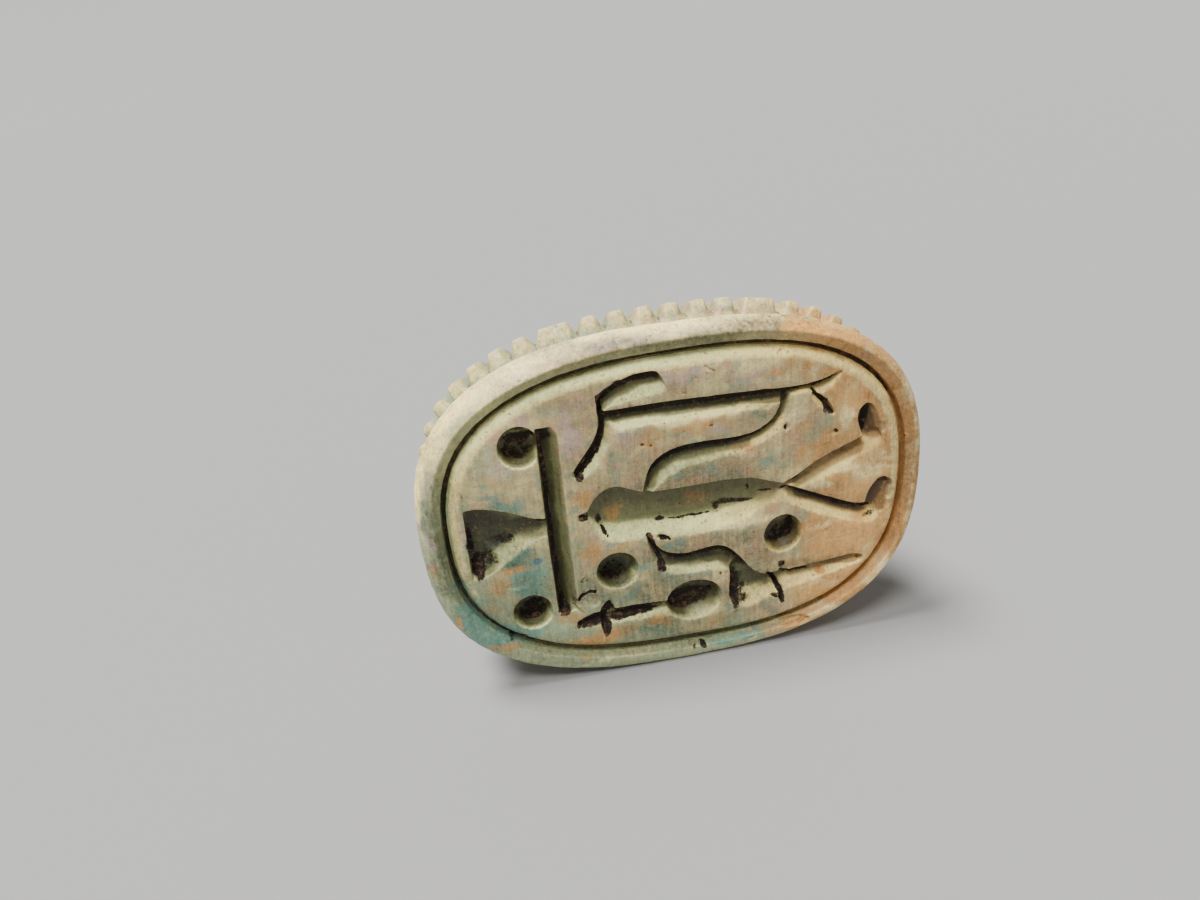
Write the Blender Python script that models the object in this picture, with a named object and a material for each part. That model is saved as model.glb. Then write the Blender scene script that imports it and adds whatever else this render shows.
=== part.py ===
"""A carved stone scarab amulet, standing on its long side.

One solid: an oval base plate with a raised rim, a groove and a flat field cut in sunk relief, a band of
notched legs round the plate, and a plain domed beetle on the back. X runs along the amulet, from the
beetle's head at -X to its tail at +X. The figured face looks towards -Y and the beetle's back towards +Y.
Z is up, and the origin is at the middle of the footprint on the ground.

Every shape is laid out on the face: x along it, z up it and depth back from it, all in millimetres from
the middle of the rim. place() turns that into metres in the scene.
"""

import bisect
import math

import bmesh
import bpy
from mathutils import Vector

MM = 0.001

# Whole amulet
LENGTH = 49.3
WIDTH = 37.5
HEIGHT = 17.5
SQUARENESS = 2.64          # 2 is an ellipse, higher is squarer
FINE_STEPS = 1440          # steps for measuring round an oval
REST_CUT = 0.25            # the small flat that the long side stands on
REST_HEIGHT = WIDTH / 2 - REST_CUT

# Figured field, inside the rim
FIELD_LENGTH = 44.4
FIELD_WIDTH = 31.85
FIELD_SHIFT = 0.3          # the rim is broader at the head end
FIELD_FLARE = 0.02         # the field widens a little towards the tail

# Base plate, its groove and its rim
PLATE_SIDES = 80
GROOVE_DEPTH = 1.3
# Rings of the plate from the field outwards: share of the way across the rim, inset above, inset
# elsewhere, depth
FIELD_RINGS = (
    (0.0, 0.95, 0.95, 0.0),
    (0.0, 0.4, 0.4, 0.14),
    (0.0, 0.05, 0.05, 0.55),
    (0.0, 0.0, 0.0, GROOVE_DEPTH),
)
RIM_RINGS = (
    (0.13, 0.0, 0.0, GROOVE_DEPTH),
    (0.17, 0.0, 0.0, 0.72),
    (0.44, 0.0, 0.0, 0.05),
    (0.56, 0.0, 0.0, 0.0),
)
WALL_RINGS = (
    (0.82, 0.0, 0.0, 0.12),
    (1.0, 0.15, 0.0, 0.8),
    (1.0, 0.55, 0.1, 1.9),
    (1.0, 1.3, 0.75, 3.1),
    (1.0, 1.95, 1.5, 3.9),
    (1.0, 3.4, 3.2, 5.2),
)
UPPER_SIDE = (0.35, 0.85)  # upward slope of the edge where the upper insets start and are full

# Band of notched legs. It slopes in behind its teeth, but runs straight back under the amulet, where
# it stands on the ground.
BAND_LENGTH = 48.8
BAND_WIDTH = 38.6
BAND_SHIFT = -0.25
# Rings of the band from front to back: inset above, inset below, depth, share of the full notch
BAND_RINGS = (
    (3.1, 3.3, 2.6, 0.0),
    (2.15, 2.3, 3.6, 0.0),
    (1.25, 1.45, 4.3, 0.35),
    (0.28, 0.65, 5.1, 1.0),
    (1.25, 0.65, 7.4, 1.0),
    (2.3, 0.65, 9.4, 0.7),
    (4.2, 3.2, 10.5, 0.0),
)
UNDERSIDE = (0.55, 0.95)   # downward slope of the edge where the lower insets start and are full
PLAIN_TAIL = 8.8           # band without teeth, measured from the middle of the tail
TOOTH = 2.55
LONG_TOOTH = 4.2
TEETH = 21
LONG_TEETH = (6, 13)
NOTCH_FLAT = 0.26
NOTCH_SLOPE = 0.6
NOTCH_DEPTH = 1.3
END_STEPS = 5

# Beetle: shift along x, half length, half width, first depth, last depth, roundness
BODY = (0.9, 20.4, 14.2, 7.0, HEIGHT, 0.86)
HEAD = (-15.9, 6.6, 7.3, 7.4, 12.9, 0.7)
BODY_FACETS = (52, 8)      # sides round the dome, steps up it
HEAD_FACETS = (32, 6)
DOME_TURN = math.radians(84)
EYE_PLACE = (-17.4, 6.0, 10.5)
EYE_RADIUS = 1.7

# Lines cut in the beetle's back
COLLAR_X = -5.4
COLLAR_BOW = 0.016
COLLAR_REACH = 12.6
BROW_X = -13.2
BROW_REACH = 9.6
SEAM_END = 20.4
LINE_WIDTH = 1.0
LINE_DEPTH = 0.6

# Stringing hole, from head to tail
HOLE_RADIUS = 1.3
HOLE_DEPTH = 7.0
HOLE_SIDES = 20

# Sunk relief, set a little off the middle of the plate
FIGURE_SHIFT = 0.05
FIGURE_RISE = 0.4
STEEP_WALL = 0.25          # ground covered by the steep wall of a cut
GENTLE_WALL = 1.9          # ground covered by the sloping wall across from it
SHOULDER = (0.6, 0.34)     # a point of the sloping wall: share of its ground, share of the depth
LIFT = 0.2                 # how far a cutter starts in front of the face
CURVE_STEPS = 2

# Cuts of the figure and its emblems. Each row is one rung across the cut: x and z of its steep edge,
# x and z of its sloping edge, and its depth. x and z are from the middle of the figure.
CUTS = {
    "crown_bar": (
        (-12.8, 10.45, -11.3, 10.45, 1.2),
        (-12.8, 9.5, -10.9, 9.4, 1.2),
        (-12.8, 0.0, -10.8, 0.0, 1.2),
        (-12.75, -9.0, -10.85, -8.9, 1.2),
        (-12.5, -10.1, -11.3, -10.1, 1.1),
    ),
    "crown_plume": (
        (-20.2, 3.2, -20.4, -4.7, 1.3),
        (-19.0, 3.25, -18.9, -4.5, 1.3),
        (-17.3, 2.8, -16.9, -3.2, 1.25),
        (-15.5, 2.05, -15.2, -2.1, 1.1),
        (-14.0, 1.3, -13.8, -1.35, 1.0),
        (-12.5, 1.0, -12.4, -0.9, 0.9),
    ),
    "head_and_body": (
        (-8.9, 1.0, -8.8, -0.5, 0.8),
        (-8.1, 2.3, -8.2, -1.9, 1.0),
        (-7.0, 3.15, -7.2, -2.7, 1.1),
        (-5.9, 3.3, -5.9, -3.1, 1.1),
        (-4.7, 2.8, -4.6, -3.1, 1.05),
        (-3.0, 2.15, -2.8, -3.2, 1.0),
        (0.5, 2.1, 0.5, -3.6, 1.1),
        (3.2, 2.15, 3.2, -3.5, 1.05),
        (5.6, 2.1, 5.6, -3.05, 0.95),
        (7.6, 1.75, 7.6, -2.4, 0.85),
        (9.1, 1.15, 9.1, -1.8, 0.7),
        (10.6, 0.65, 10.6, -1.4, 0.6),
    ),
    "brow_tick": (
        (-9.8, 0.8, -9.7, 0.3, 0.5),
        (-9.2, 1.0, -9.1, 0.35, 0.6),
        (-8.3, 1.25, -8.3, 0.3, 0.7),
    ),
    "raised_arm": (
        (-3.55, 1.8, -2.9, 1.8, 0.8),
        (-3.1, 3.6, -1.9, 2.5, 1.1),
        (-2.5, 5.0, -0.9, 3.3, 1.2),
        (-1.4, 5.95, 0.2, 3.85, 1.2),
        (0.3, 6.5, 1.4, 4.2, 1.2),
        (2.6, 6.65, 3.2, 4.45, 1.15),
        (5.0, 6.6, 5.4, 4.75, 1.1),
        (7.1, 6.75, 7.5, 5.35, 1.05),
        (8.6, 7.45, 9.3, 6.15, 1.1),
        (9.5, 8.4, 10.6, 7.2, 1.1),
        (9.9, 9.6, 11.2, 8.9, 1.1),
        (10.0, 10.7, 11.4, 10.6, 1.1),
    ),
    "staff": (
        (-7.1, 11.2, -6.4, 9.0, 1.1),
        (-5.4, 11.2, -5.2, 9.1, 1.25),
        (-1.0, 11.25, -1.0, 9.15, 1.25),
        (4.0, 11.1, 4.0, 9.15, 1.25),
        (8.5, 10.95, 8.5, 9.2, 1.2),
        (10.6, 10.85, 10.6, 9.5, 1.1),
        (11.8, 10.85, 11.8, 10.1, 1.0),
        (12.9, 10.85, 12.9, 10.1, 0.9),
    ),
    "staff_prong": (
        (12.5, 10.9, 12.6, 9.9, 0.9),
        (13.7, 11.1, 13.6, 9.5, 0.9),
        (14.8, 11.45, 14.8, 10.2, 0.7),
        (15.8, 11.85, 15.7, 11.4, 0.35),
    ),
    "staff_barb": (
        (13.0, 10.0, 12.8, 9.5, 0.6),
        (13.9, 9.5, 13.3, 8.8, 0.95),
        (14.6, 8.7, 14.1, 8.0, 0.95),
        (15.2, 7.5, 15.0, 7.25, 0.4),
    ),
    "staff_hook": (
        (-7.1, 11.1, -6.5, 11.1, 1.0),
        (-7.0, 12.3, -6.0, 11.5, 1.1),
        (-6.4, 13.0, -5.2, 11.6, 1.15),
        (-5.2, 13.75, -4.2, 11.7, 1.15),
        (-3.8, 14.25, -3.2, 11.8, 1.15),
        (-2.5, 14.4, -2.1, 11.9, 1.15),
        (-1.5, 14.3, -1.2, 12.1, 1.0),
        (-1.0, 13.5, -0.7, 12.5, 0.8),
    ),
    "staff_muzzle": (
        (-7.05, 11.1, -5.5, 9.6, 1.1),
        (-7.1, 9.8, -5.4, 8.9, 1.15),
        (-7.6, 8.5, -5.9, 7.6, 1.15),
        (-8.5, 7.2, -6.8, 6.3, 1.1),
        (-9.3, 6.2, -7.8, 5.3, 1.0),
        (-9.8, 5.4, -8.9, 4.75, 0.8),
        (-9.75, 4.95, -9.4, 4.7, 0.5),
    ),
    "front_leg": (
        (10.3, 0.8, 10.6, 0.0, 0.6),
        (11.6, 1.4, 12.2, -0.1, 0.9),
        (13.5, 2.65, 14.2, 0.2, 1.05),
        (15.5, 3.55, 16.1, 1.15, 1.05),
        (17.4, 4.3, 18.0, 2.3, 1.05),
        (18.7, 4.9, 19.4, 3.0, 1.0),
        (19.6, 5.2, 20.3, 3.5, 0.8),
    ),
    "front_foot": (
        (18.4, 4.0, 20.2, 3.7, 0.9),
        (17.9, 5.0, 20.2, 4.8, 1.25),
        (17.5, 6.4, 19.9, 6.1, 1.25),
        (17.6, 7.4, 19.4, 7.1, 1.1),
        (18.2, 8.0, 18.9, 7.85, 0.8),
    ),
    "rear_leg": (
        (10.1, 0.65, 10.0, -1.4, 0.6),
        (11.8, -0.1, 11.0, -1.9, 0.95),
        (13.8, -1.1, 12.9, -3.0, 1.1),
        (15.8, -2.05, 14.9, -4.0, 1.1),
        (17.6, -2.85, 17.0, -5.0, 1.1),
        (18.8, -3.0, 19.0, -5.6, 1.05),
        (20.0, -3.2, 20.5, -5.3, 0.9),
    ),
    "rear_foot": (
        (18.6, -4.2, 20.9, -4.5, 1.1),
        (18.8, -2.6, 21.3, -3.3, 1.15),
        (19.2, -1.4, 21.4, -2.2, 1.0),
        (19.9, -0.5, 21.4, -1.3, 0.8),
        (20.5, -0.3, 21.1, -0.7, 0.5),
    ),
    "lowered_arm": (
        (-3.6, -2.1, -3.45, -2.5, 0.5),
        (-2.9, -3.3, -3.25, -4.0, 0.9),
        (-2.0, -4.6, -2.9, -5.7, 1.15),
        (-0.9, -5.25, -2.2, -7.3, 1.25),
        (0.5, -5.5, -0.2, -8.0, 1.25),
        (2.0, -5.3, 1.7, -8.05, 1.25),
        (3.4, -5.15, 3.1, -8.0, 1.25),
        (4.6, -5.6, 4.0, -8.15, 1.25),
        (5.7, -6.8, 4.7, -8.6, 1.25),
        (6.6, -8.0, 5.0, -9.4, 1.25),
    ),
    "lowered_hand": (
        (4.9, -8.0, 4.65, -12.5, 1.3),
        (6.1, -7.6, 5.8, -13.4, 1.35),
        (7.3, -9.0, 7.2, -13.5, 1.3),
        (8.6, -9.65, 8.5, -12.9, 1.1),
        (9.8, -9.65, 9.8, -12.3, 1.0),
    ),
    "lower_stroke": (
        (9.2, -9.6, 9.3, -12.4, 1.0),
        (11.0, -9.55, 11.0, -12.15, 1.05),
        (13.5, -9.35, 13.5, -11.65, 1.0),
        (16.0, -9.1, 16.0, -11.0, 0.95),
        (17.8, -8.95, 17.6, -10.5, 0.8),
        (18.8, -9.3, 18.6, -10.0, 0.5),
    ),
    "stroke_nick": (
        (9.7, -9.8, 11.1, -9.8, 0.7),
        (10.1, -9.0, 10.8, -9.0, 0.5),
        (10.35, -8.35, 10.5, -8.35, 0.3),
    ),
    "blade_shaft": (
        (-11.0, -11.6, -10.9, -12.4, 0.7),
        (-9.2, -10.8, -9.1, -12.5, 0.95),
        (-6.5, -10.7, -6.5, -12.6, 1.0),
        (-4.0, -10.75, -4.0, -12.7, 1.0),
        (-1.5, -10.9, -1.3, -12.9, 0.9),
    ),
    "blade_guard": (
        (-7.75, -9.5, -7.4, -9.6, 0.5),
        (-8.5, -10.4, -6.9, -10.6, 1.0),
        (-8.75, -11.8, -7.5, -12.0, 1.0),
        (-8.6, -13.0, -7.7, -12.9, 0.7),
        (-8.4, -13.8, -8.1, -13.8, 0.4),
    ),
}

# Drilled hollows: x and z of the middle, half width, half height, depth, drift of the floor up and left
HOLLOWS = {
    "crown_disc_upper": (-14.35, 8.85, 1.95, 2.1, 1.7, 0.15),
    "crown_disc_lower": (-15.15, -9.4, 1.95, 2.0, 1.7, 0.15),
    "disc_by_head": (-6.45, -6.25, 2.1, 2.15, 1.7, 0.3),
    "disc_by_leg": (10.35, -5.1, 1.95, 2.2, 1.7, 0.4),
    "oval_by_hand": (1.15, -11.4, 2.95, 2.45, 1.6, 0.6),
}
HOLLOW_SIDES = 24
HOLLOW_FLOOR = 0.82

STONE_COLOUR = (0.62, 0.60, 0.45, 1.0)
STONE_ROUGHNESS = 0.5


def clear_scene():
    for old in list(bpy.data.objects):
        bpy.data.objects.remove(old, do_unlink=True)


def place(x, z, depth):
    """A point of the face layout as a point of the scene."""
    return Vector((x, depth - HEIGHT / 2, z + REST_HEIGHT)) * MM


def oval_point(half_length, half_width, turn):
    across = math.copysign(abs(math.cos(turn)) ** (2 / SQUARENESS), math.cos(turn))
    up = math.copysign(abs(math.sin(turn)) ** (2 / SQUARENESS), math.sin(turn))
    return Vector((half_length * across, half_width * up))


def oval_normal(half_length, half_width, turn):
    """The outward direction of the oval's edge at a turn."""
    point = oval_point(half_length, half_width, turn)
    power = SQUARENESS - 1
    along_x = math.copysign(abs(point.x / half_length) ** power, point.x) / half_length
    along_z = math.copysign(abs(point.y / half_width) ** power, point.y) / half_width
    return Vector((along_x, along_z)).normalized()


def edge_lengths(half_length, half_width):
    """Length round the oval's edge at each of many even turns, starting from the tail."""
    lengths = [0.0]
    for step in range(FINE_STEPS):
        before = oval_point(half_length, half_width, 2 * math.pi * step / FINE_STEPS)
        after = oval_point(half_length, half_width, 2 * math.pi * (step + 1) / FINE_STEPS)
        lengths.append(lengths[-1] + (after - before).length)
    return lengths


def turn_at(lengths, length):
    """The turn at which the edge is this long."""
    index = bisect.bisect_left(lengths, length, 1, FINE_STEPS)
    part = (length - lengths[index - 1]) / (lengths[index] - lengths[index - 1])
    return 2 * math.pi * (index - 1 + part) / FINE_STEPS


def even_turns(half_length, half_width, count):
    """Turns that space their points evenly round the oval's edge."""
    lengths = edge_lengths(half_length, half_width)
    return [turn_at(lengths, lengths[-1] * (step + 0.5) / count) for step in range(count)]


def share_between(value, limits):
    """0 below the first limit, 1 above the second and an even change between."""
    low, high = limits
    return min(max((value - low) / (high - low), 0.0), 1.0)


def plate_ring(share, inset_above, inset_elsewhere, depth):
    """One ring of the plate: share 0 is the field's edge and share 1 the outer edge."""
    ring = []
    for turn in even_turns(LENGTH / 2, WIDTH / 2, PLATE_SIDES):
        inner = oval_point(FIELD_LENGTH / 2, FIELD_WIDTH / 2, turn)
        inner.y *= 1 + FIELD_FLARE * inner.x / (FIELD_LENGTH / 2)
        inner.x += FIELD_SHIFT
        outer = oval_point(LENGTH / 2, WIDTH / 2, turn)
        normal = oval_normal(LENGTH / 2, WIDTH / 2, turn)
        above = share_between(normal.y, UPPER_SIDE)
        inset = inset_elsewhere + (inset_above - inset_elsewhere) * above
        spot = inner.lerp(outer, share) - normal * inset
        ring.append(place(spot.x, spot.y, depth))
    return ring


def solid_from(name, form):
    """Turns a finished bmesh into an object of the scene."""
    mesh = bpy.data.meshes.new(name)
    form.to_mesh(mesh)
    form.free()
    solid = bpy.data.objects.new(name, mesh)
    bpy.context.scene.collection.objects.link(solid)
    return solid


def loft(name, rings):
    """A closed solid through rings of points, each ring joined to the next and both ends capped."""
    form = bmesh.new()
    loops = []
    for ring in rings:
        corners = [form.verts.new(point) for point in ring]
        loops.append([form.edges.new((a, b)) for a, b in zip(corners, corners[1:] + corners[:1])])
    for first, second in zip(loops, loops[1:]):
        bmesh.ops.bridge_loops(form, edges=first + second)
    bmesh.ops.edgenet_fill(form, edges=loops[0])
    bmesh.ops.edgenet_fill(form, edges=loops[-1])
    bmesh.ops.recalc_face_normals(form, faces=form.faces)
    if form.calc_volume(signed=True) < 0:
        bmesh.ops.reverse_faces(form, faces=form.faces)
    return solid_from(name, form)


def build_plate():
    return loft("scarab_amulet", [plate_ring(*ring) for ring in FIELD_RINGS + RIM_RINGS + WALL_RINGS])


def band_side(whole):
    """Places along one side of the band from tail to head, each as (length, share of the notch)."""
    foot = NOTCH_FLAT / 2
    top = foot + NOTCH_SLOPE
    places = [(PLAIN_TAIL * (step + 0.5) / (END_STEPS + 1), 0.0) for step in range(END_STEPS)]
    start = PLAIN_TAIL
    places += [(start - top, 0.0), (start - foot, 1.0)]
    for tooth in range(TEETH):
        end = start + (LONG_TOOTH if tooth in LONG_TEETH else TOOTH)
        places += [(start + foot, 1.0), (start + top, 0.0), (end - top, 0.0), (end - foot, 1.0)]
        start = end
    places += [(start + foot, 1.0), (start + top, 0.0)]
    step_length = (whole - start - top) / (END_STEPS + 0.5)
    places += [(start + top + step_length * (step + 1), 0.0) for step in range(END_STEPS)]
    return places


def build_band():
    half_length, half_width = BAND_LENGTH / 2, BAND_WIDTH / 2
    lengths = edge_lengths(half_length, half_width)
    upper = band_side(lengths[-1] / 2)
    lower = [(lengths[-1] - length, cut) for length, cut in reversed(upper)]
    rings = []
    for inset_above, inset_below, depth, notch_share in BAND_RINGS:
        ring = []
        for length, cut in upper + lower:
            turn = turn_at(lengths, length)
            normal = oval_normal(half_length, half_width, turn)
            below = share_between(-normal.y, UNDERSIDE)
            inset = inset_above + (inset_below - inset_above) * below
            inset += cut * notch_share * NOTCH_DEPTH
            spot = oval_point(half_length, half_width, turn) - normal * inset
            ring.append(place(spot.x + BAND_SHIFT, spot.y, depth))
        rings.append(ring)
    return loft("leg_band", rings)


def dome_depth(dome, x, z):
    """How far back the dome's surface lies at x and z."""
    shift, half_length, half_width, first, last, roundness = dome
    across = abs((x - shift) / half_length) ** SQUARENESS
    up = abs(z / half_width) ** SQUARENESS
    size = min((across + up) ** (1 / SQUARENESS), 0.999)
    turn = math.acos(size ** (1 / roundness))
    return first + (last - first) * min(math.sin(turn) / math.sin(DOME_TURN), 1.0)


def build_dome(name, dome, facets):
    shift, half_length, half_width, first, last, roundness = dome
    sides, steps = facets
    rings = []
    for step in range(steps + 1):
        turn = DOME_TURN * step / steps
        size = math.cos(turn) ** roundness
        depth = first + (last - first) * math.sin(turn) / math.sin(DOME_TURN)
        ring = []
        for angle in even_turns(half_length, half_width, sides):
            spot = oval_point(half_length, half_width, angle) * size
            ring.append(place(spot.x + shift, spot.y, depth))
        rings.append(ring)
    return loft(name, rings)


def build_eye(name, side):
    x, z, depth = EYE_PLACE
    form = bmesh.new()
    bmesh.ops.create_uvsphere(form, u_segments=12, v_segments=7, radius=EYE_RADIUS * MM)
    bmesh.ops.translate(form, verts=form.verts, vec=place(x, side * z, depth))
    return solid_from(name, form)


def build_line(name, dome, route):
    """A V cut that follows a route of (x, z) points over a dome."""
    rings = []
    for index, (x, z) in enumerate(route):
        before = Vector(route[max(index - 1, 0)])
        after = Vector(route[min(index + 1, len(route) - 1)])
        aside = Vector((before.y - after.y, after.x - before.x)).normalized() * LINE_WIDTH
        depth = dome_depth(dome, x, z)
        rings.append([
            place(x + aside.x, z + aside.y, depth + LINE_DEPTH),
            place(x, z, depth - LINE_DEPTH),
            place(x - aside.x, z - aside.y, depth + LINE_DEPTH),
        ])
    return loft(name, rings)


def build_back_lines():
    steps = 12
    spread = [2 * step / steps - 1 for step in range(steps + 1)]
    collar = [(COLLAR_X + COLLAR_BOW * (s * COLLAR_REACH) ** 2, s * COLLAR_REACH) for s in spread]
    brow = [(BROW_X - COLLAR_BOW * (s * BROW_REACH) ** 2, s * BROW_REACH) for s in spread]
    seam = [(COLLAR_X + (SEAM_END - COLLAR_X) * step / steps, 0.0) for step in range(steps + 1)]
    return [
        build_line("collar_line", BODY, collar),
        build_line("brow_line", BODY, brow),
        build_line("wing_seam", BODY, seam),
    ]


def smooth_rungs(rungs):
    """The rungs of a cut with points between them on a smooth curve."""
    padded = [rungs[0], *rungs, rungs[-1]]
    out = []
    for a, b, c, d in zip(padded, padded[1:], padded[2:], padded[3:]):
        for step in range(CURVE_STEPS):
            t = step / CURVE_STEPS
            out.append([
                0.5 * (2 * q + (r - p) * t + (2 * p - 5 * q + 4 * r - s) * t**2 + (3 * q - p - 3 * r + s) * t**3)
                for p, q, r, s in zip(a, b, c, d)
            ])
    out.append(list(rungs[-1]))
    return out


def build_cut(name, rungs):
    """A cutter with one steep and one sloping wall, from rungs that each cross the cut."""
    rings = []
    for steep_x, steep_z, gentle_x, gentle_z, deep in smooth_rungs(rungs):
        steep = Vector((steep_x + FIGURE_SHIFT, steep_z + FIGURE_RISE))
        gentle = Vector((gentle_x + FIGURE_SHIFT, gentle_z + FIGURE_RISE))
        width = (gentle - steep).length
        foot = min(STEEP_WALL / width, 0.25)
        slope = max(1 - GENTLE_WALL / width, foot + 0.14)
        share, deep_share = SHOULDER
        shoulder = slope + (1 - slope) * share
        past_steep = -foot * LIFT / deep
        past_gentle = 1 + (1 - shoulder) * LIFT / (deep * deep_share)
        section = (
            (past_steep, -LIFT),
            (foot, deep),
            (slope, deep * 0.94),
            (shoulder, deep * deep_share),
            (past_gentle, -LIFT),
        )
        ring = []
        for across, depth in section:
            spot = steep.lerp(gentle, across)
            ring.append(place(spot.x, spot.y, depth))
        rings.append(ring)
    return loft(name, rings)


def build_hollow(name, hollow):
    """A drilled hollow whose floor sits a little up and left, so that its lower right wall slopes."""
    x, z, half_width, half_height, deep, drift = hollow
    rings = []
    for size, moved, depth in ((1.04, 0.0, -LIFT), (1.0, 0.0, 0.0), (HOLLOW_FLOOR, drift, deep)):
        ring = []
        for step in range(HOLLOW_SIDES):
            turn = 2 * math.pi * (step + 0.5) / HOLLOW_SIDES
            across = x + FIGURE_SHIFT - moved + half_width * size * math.cos(turn)
            up = z + FIGURE_RISE + moved + half_height * size * math.sin(turn)
            ring.append(place(across, up, depth))
        rings.append(ring)
    return loft(name, rings)


def build_hole():
    """The stringing hole, drilled from end to end."""
    rings = []
    for x in (-LENGTH, LENGTH):
        ring = []
        for step in range(HOLE_SIDES):
            turn = 2 * math.pi * step / HOLE_SIDES
            ring.append(place(x, HOLE_RADIUS * math.cos(turn), HOLE_DEPTH + HOLE_RADIUS * math.sin(turn)))
        rings.append(ring)
    return loft("string_hole", rings)


def build_rest_cut():
    """A block whose top face leaves the small flat that the amulet stands on."""
    form = bmesh.new()
    bmesh.ops.create_cube(form, size=1.0)
    size = Vector((LENGTH * 1.2, HEIGHT * 1.4, WIDTH / 4)) * MM
    bmesh.ops.scale(form, verts=form.verts, vec=size)
    bmesh.ops.translate(form, verts=form.verts, vec=(0.0, 0.0, -size.z / 2))
    return solid_from("rest_cut", form)


def group(name, solids):
    """Puts helper solids in a collection of their own, out of renders."""
    collection = bpy.data.collections.new(name)
    bpy.context.scene.collection.children.link(collection)
    for solid in solids:
        bpy.context.scene.collection.objects.unlink(solid)
        collection.objects.link(solid)
        solid.hide_render = True
        solid.display_type = "WIRE"
    return collection


def combine(target, name, operation, collection):
    boolean = target.modifiers.new(name, "BOOLEAN")
    boolean.operation = operation
    boolean.operand_type = "COLLECTION"
    boolean.collection = collection
    boolean.solver = "EXACT"


def stone_material():
    stone = bpy.data.materials.new("glazed_steatite")
    stone.use_nodes = True
    shader = stone.node_tree.nodes["Principled BSDF"]
    shader.inputs["Base Color"].default_value = STONE_COLOUR
    shader.inputs["Roughness"].default_value = STONE_ROUGHNESS
    shader.inputs["Metallic"].default_value = 0.0
    return stone


def build_scarab():
    scarab = build_plate()
    added = [build_band()]
    added += [build_dome("beetle_body", BODY, BODY_FACETS), build_dome("beetle_head", HEAD, HEAD_FACETS)]
    added += [build_eye("beetle_eye_upper", 1), build_eye("beetle_eye_lower", -1)]
    removed = [build_cut(name, rungs) for name, rungs in CUTS.items()]
    removed += [build_hollow(name, hollow) for name, hollow in HOLLOWS.items()]
    removed += build_back_lines()
    removed += [build_hole(), build_rest_cut()]
    combine(scarab, "join", "UNION", group("added", added))
    combine(scarab, "carve", "DIFFERENCE", group("removed", removed))
    scarab.data.materials.append(stone_material())
    scarab.data.shade_smooth()
    scarab.data.set_sharp_from_angle(angle=math.radians(30))
    return scarab


clear_scene()
build_scarab()
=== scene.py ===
import math

import bmesh
import bpy
import numpy as np
from mathutils import Matrix, Vector


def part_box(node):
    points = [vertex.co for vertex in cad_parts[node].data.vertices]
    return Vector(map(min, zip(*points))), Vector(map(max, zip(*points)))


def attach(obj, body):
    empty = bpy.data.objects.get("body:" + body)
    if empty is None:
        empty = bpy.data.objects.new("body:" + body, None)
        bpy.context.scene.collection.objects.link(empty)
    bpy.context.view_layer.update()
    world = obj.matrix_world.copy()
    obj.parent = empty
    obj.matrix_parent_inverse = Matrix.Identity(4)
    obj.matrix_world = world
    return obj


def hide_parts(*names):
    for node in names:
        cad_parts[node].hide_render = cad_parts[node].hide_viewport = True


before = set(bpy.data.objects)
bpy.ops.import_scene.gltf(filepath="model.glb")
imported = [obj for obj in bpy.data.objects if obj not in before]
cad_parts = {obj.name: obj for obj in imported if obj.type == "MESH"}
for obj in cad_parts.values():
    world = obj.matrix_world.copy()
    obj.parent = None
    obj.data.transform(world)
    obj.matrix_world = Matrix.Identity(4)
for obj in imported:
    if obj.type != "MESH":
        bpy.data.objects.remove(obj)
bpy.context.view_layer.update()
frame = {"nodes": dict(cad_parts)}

print("frame loaded:", ", ".join(frame["nodes"]))

mm = 0.001
nodeLow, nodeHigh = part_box("scarab_amulet")
faceDepth = nodeLow.y / mm    # the flat figured face, in mm
restHeight = 18.9             # from the ground to the middle of the figure
figureShift = 0.05            # the figure sits this far towards the tail


# numbers for every point of a mesh; places are in mm

def pointsOf(mesh):
    spots = np.empty(len(mesh.vertices) * 3, np.float32)
    mesh.vertices.foreach_get("co", spots)
    return spots.reshape(-1, 3).astype(np.float64) / mm


def movePoints(mesh, spots):
    mesh.vertices.foreach_set("co", (spots * mm).astype(np.float32).ravel())
    mesh.update()


def keepInside(mesh, spots):
    # moves the points but holds them inside the solid's box
    movePoints(mesh, np.clip(spots, np.array(nodeLow) / mm, np.array(nodeHigh) / mm))


def normalsOf(mesh):
    found = np.empty(len(mesh.vertices) * 3, np.float32)
    mesh.vertices.foreach_get("normal", found)
    return found.reshape(-1, 3).astype(np.float64)


def edgesOf(mesh):
    pairs = np.empty(len(mesh.edges) * 2, np.int32)
    mesh.edges.foreach_get("vertices", pairs)
    return pairs.reshape(-1, 2)


def trianglesOf(mesh):
    return sum(len(face.vertices) - 2 for face in mesh.polygons)


def relax(values, pairs, rounds, amount=0.5):
    # each round moves a point's values part of the way to the mean of its neighbours'
    count = np.bincount(pairs.ravel(), minlength=len(values))[:, None]
    for _ in range(rounds):
        total = np.stack([
            np.bincount(pairs[:, 0], values[pairs[:, 1], column], len(values))
            + np.bincount(pairs[:, 1], values[pairs[:, 0], column], len(values))
            for column in range(values.shape[1])
        ], -1)
        values = values + (total / count - values) * amount
    return values


def relaxOne(values, pairs, rounds):
    # the same where each point has a single value
    return relax(values[:, None], pairs, rounds)[:, 0]


def faceLayout(spots):
    # x along the face, z up it and depth behind it, from the middle of the figure
    return spots[:, 0] - figureShift, spots[:, 2] - restHeight, spots[:, 1] - faceDepth


def ease(value, low, high):
    # 0 up to low, 1 from high on and a smooth step between
    share = np.clip((value - low) / (high - low), 0, 1)
    return share * share * (3 - 2 * share)


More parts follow.
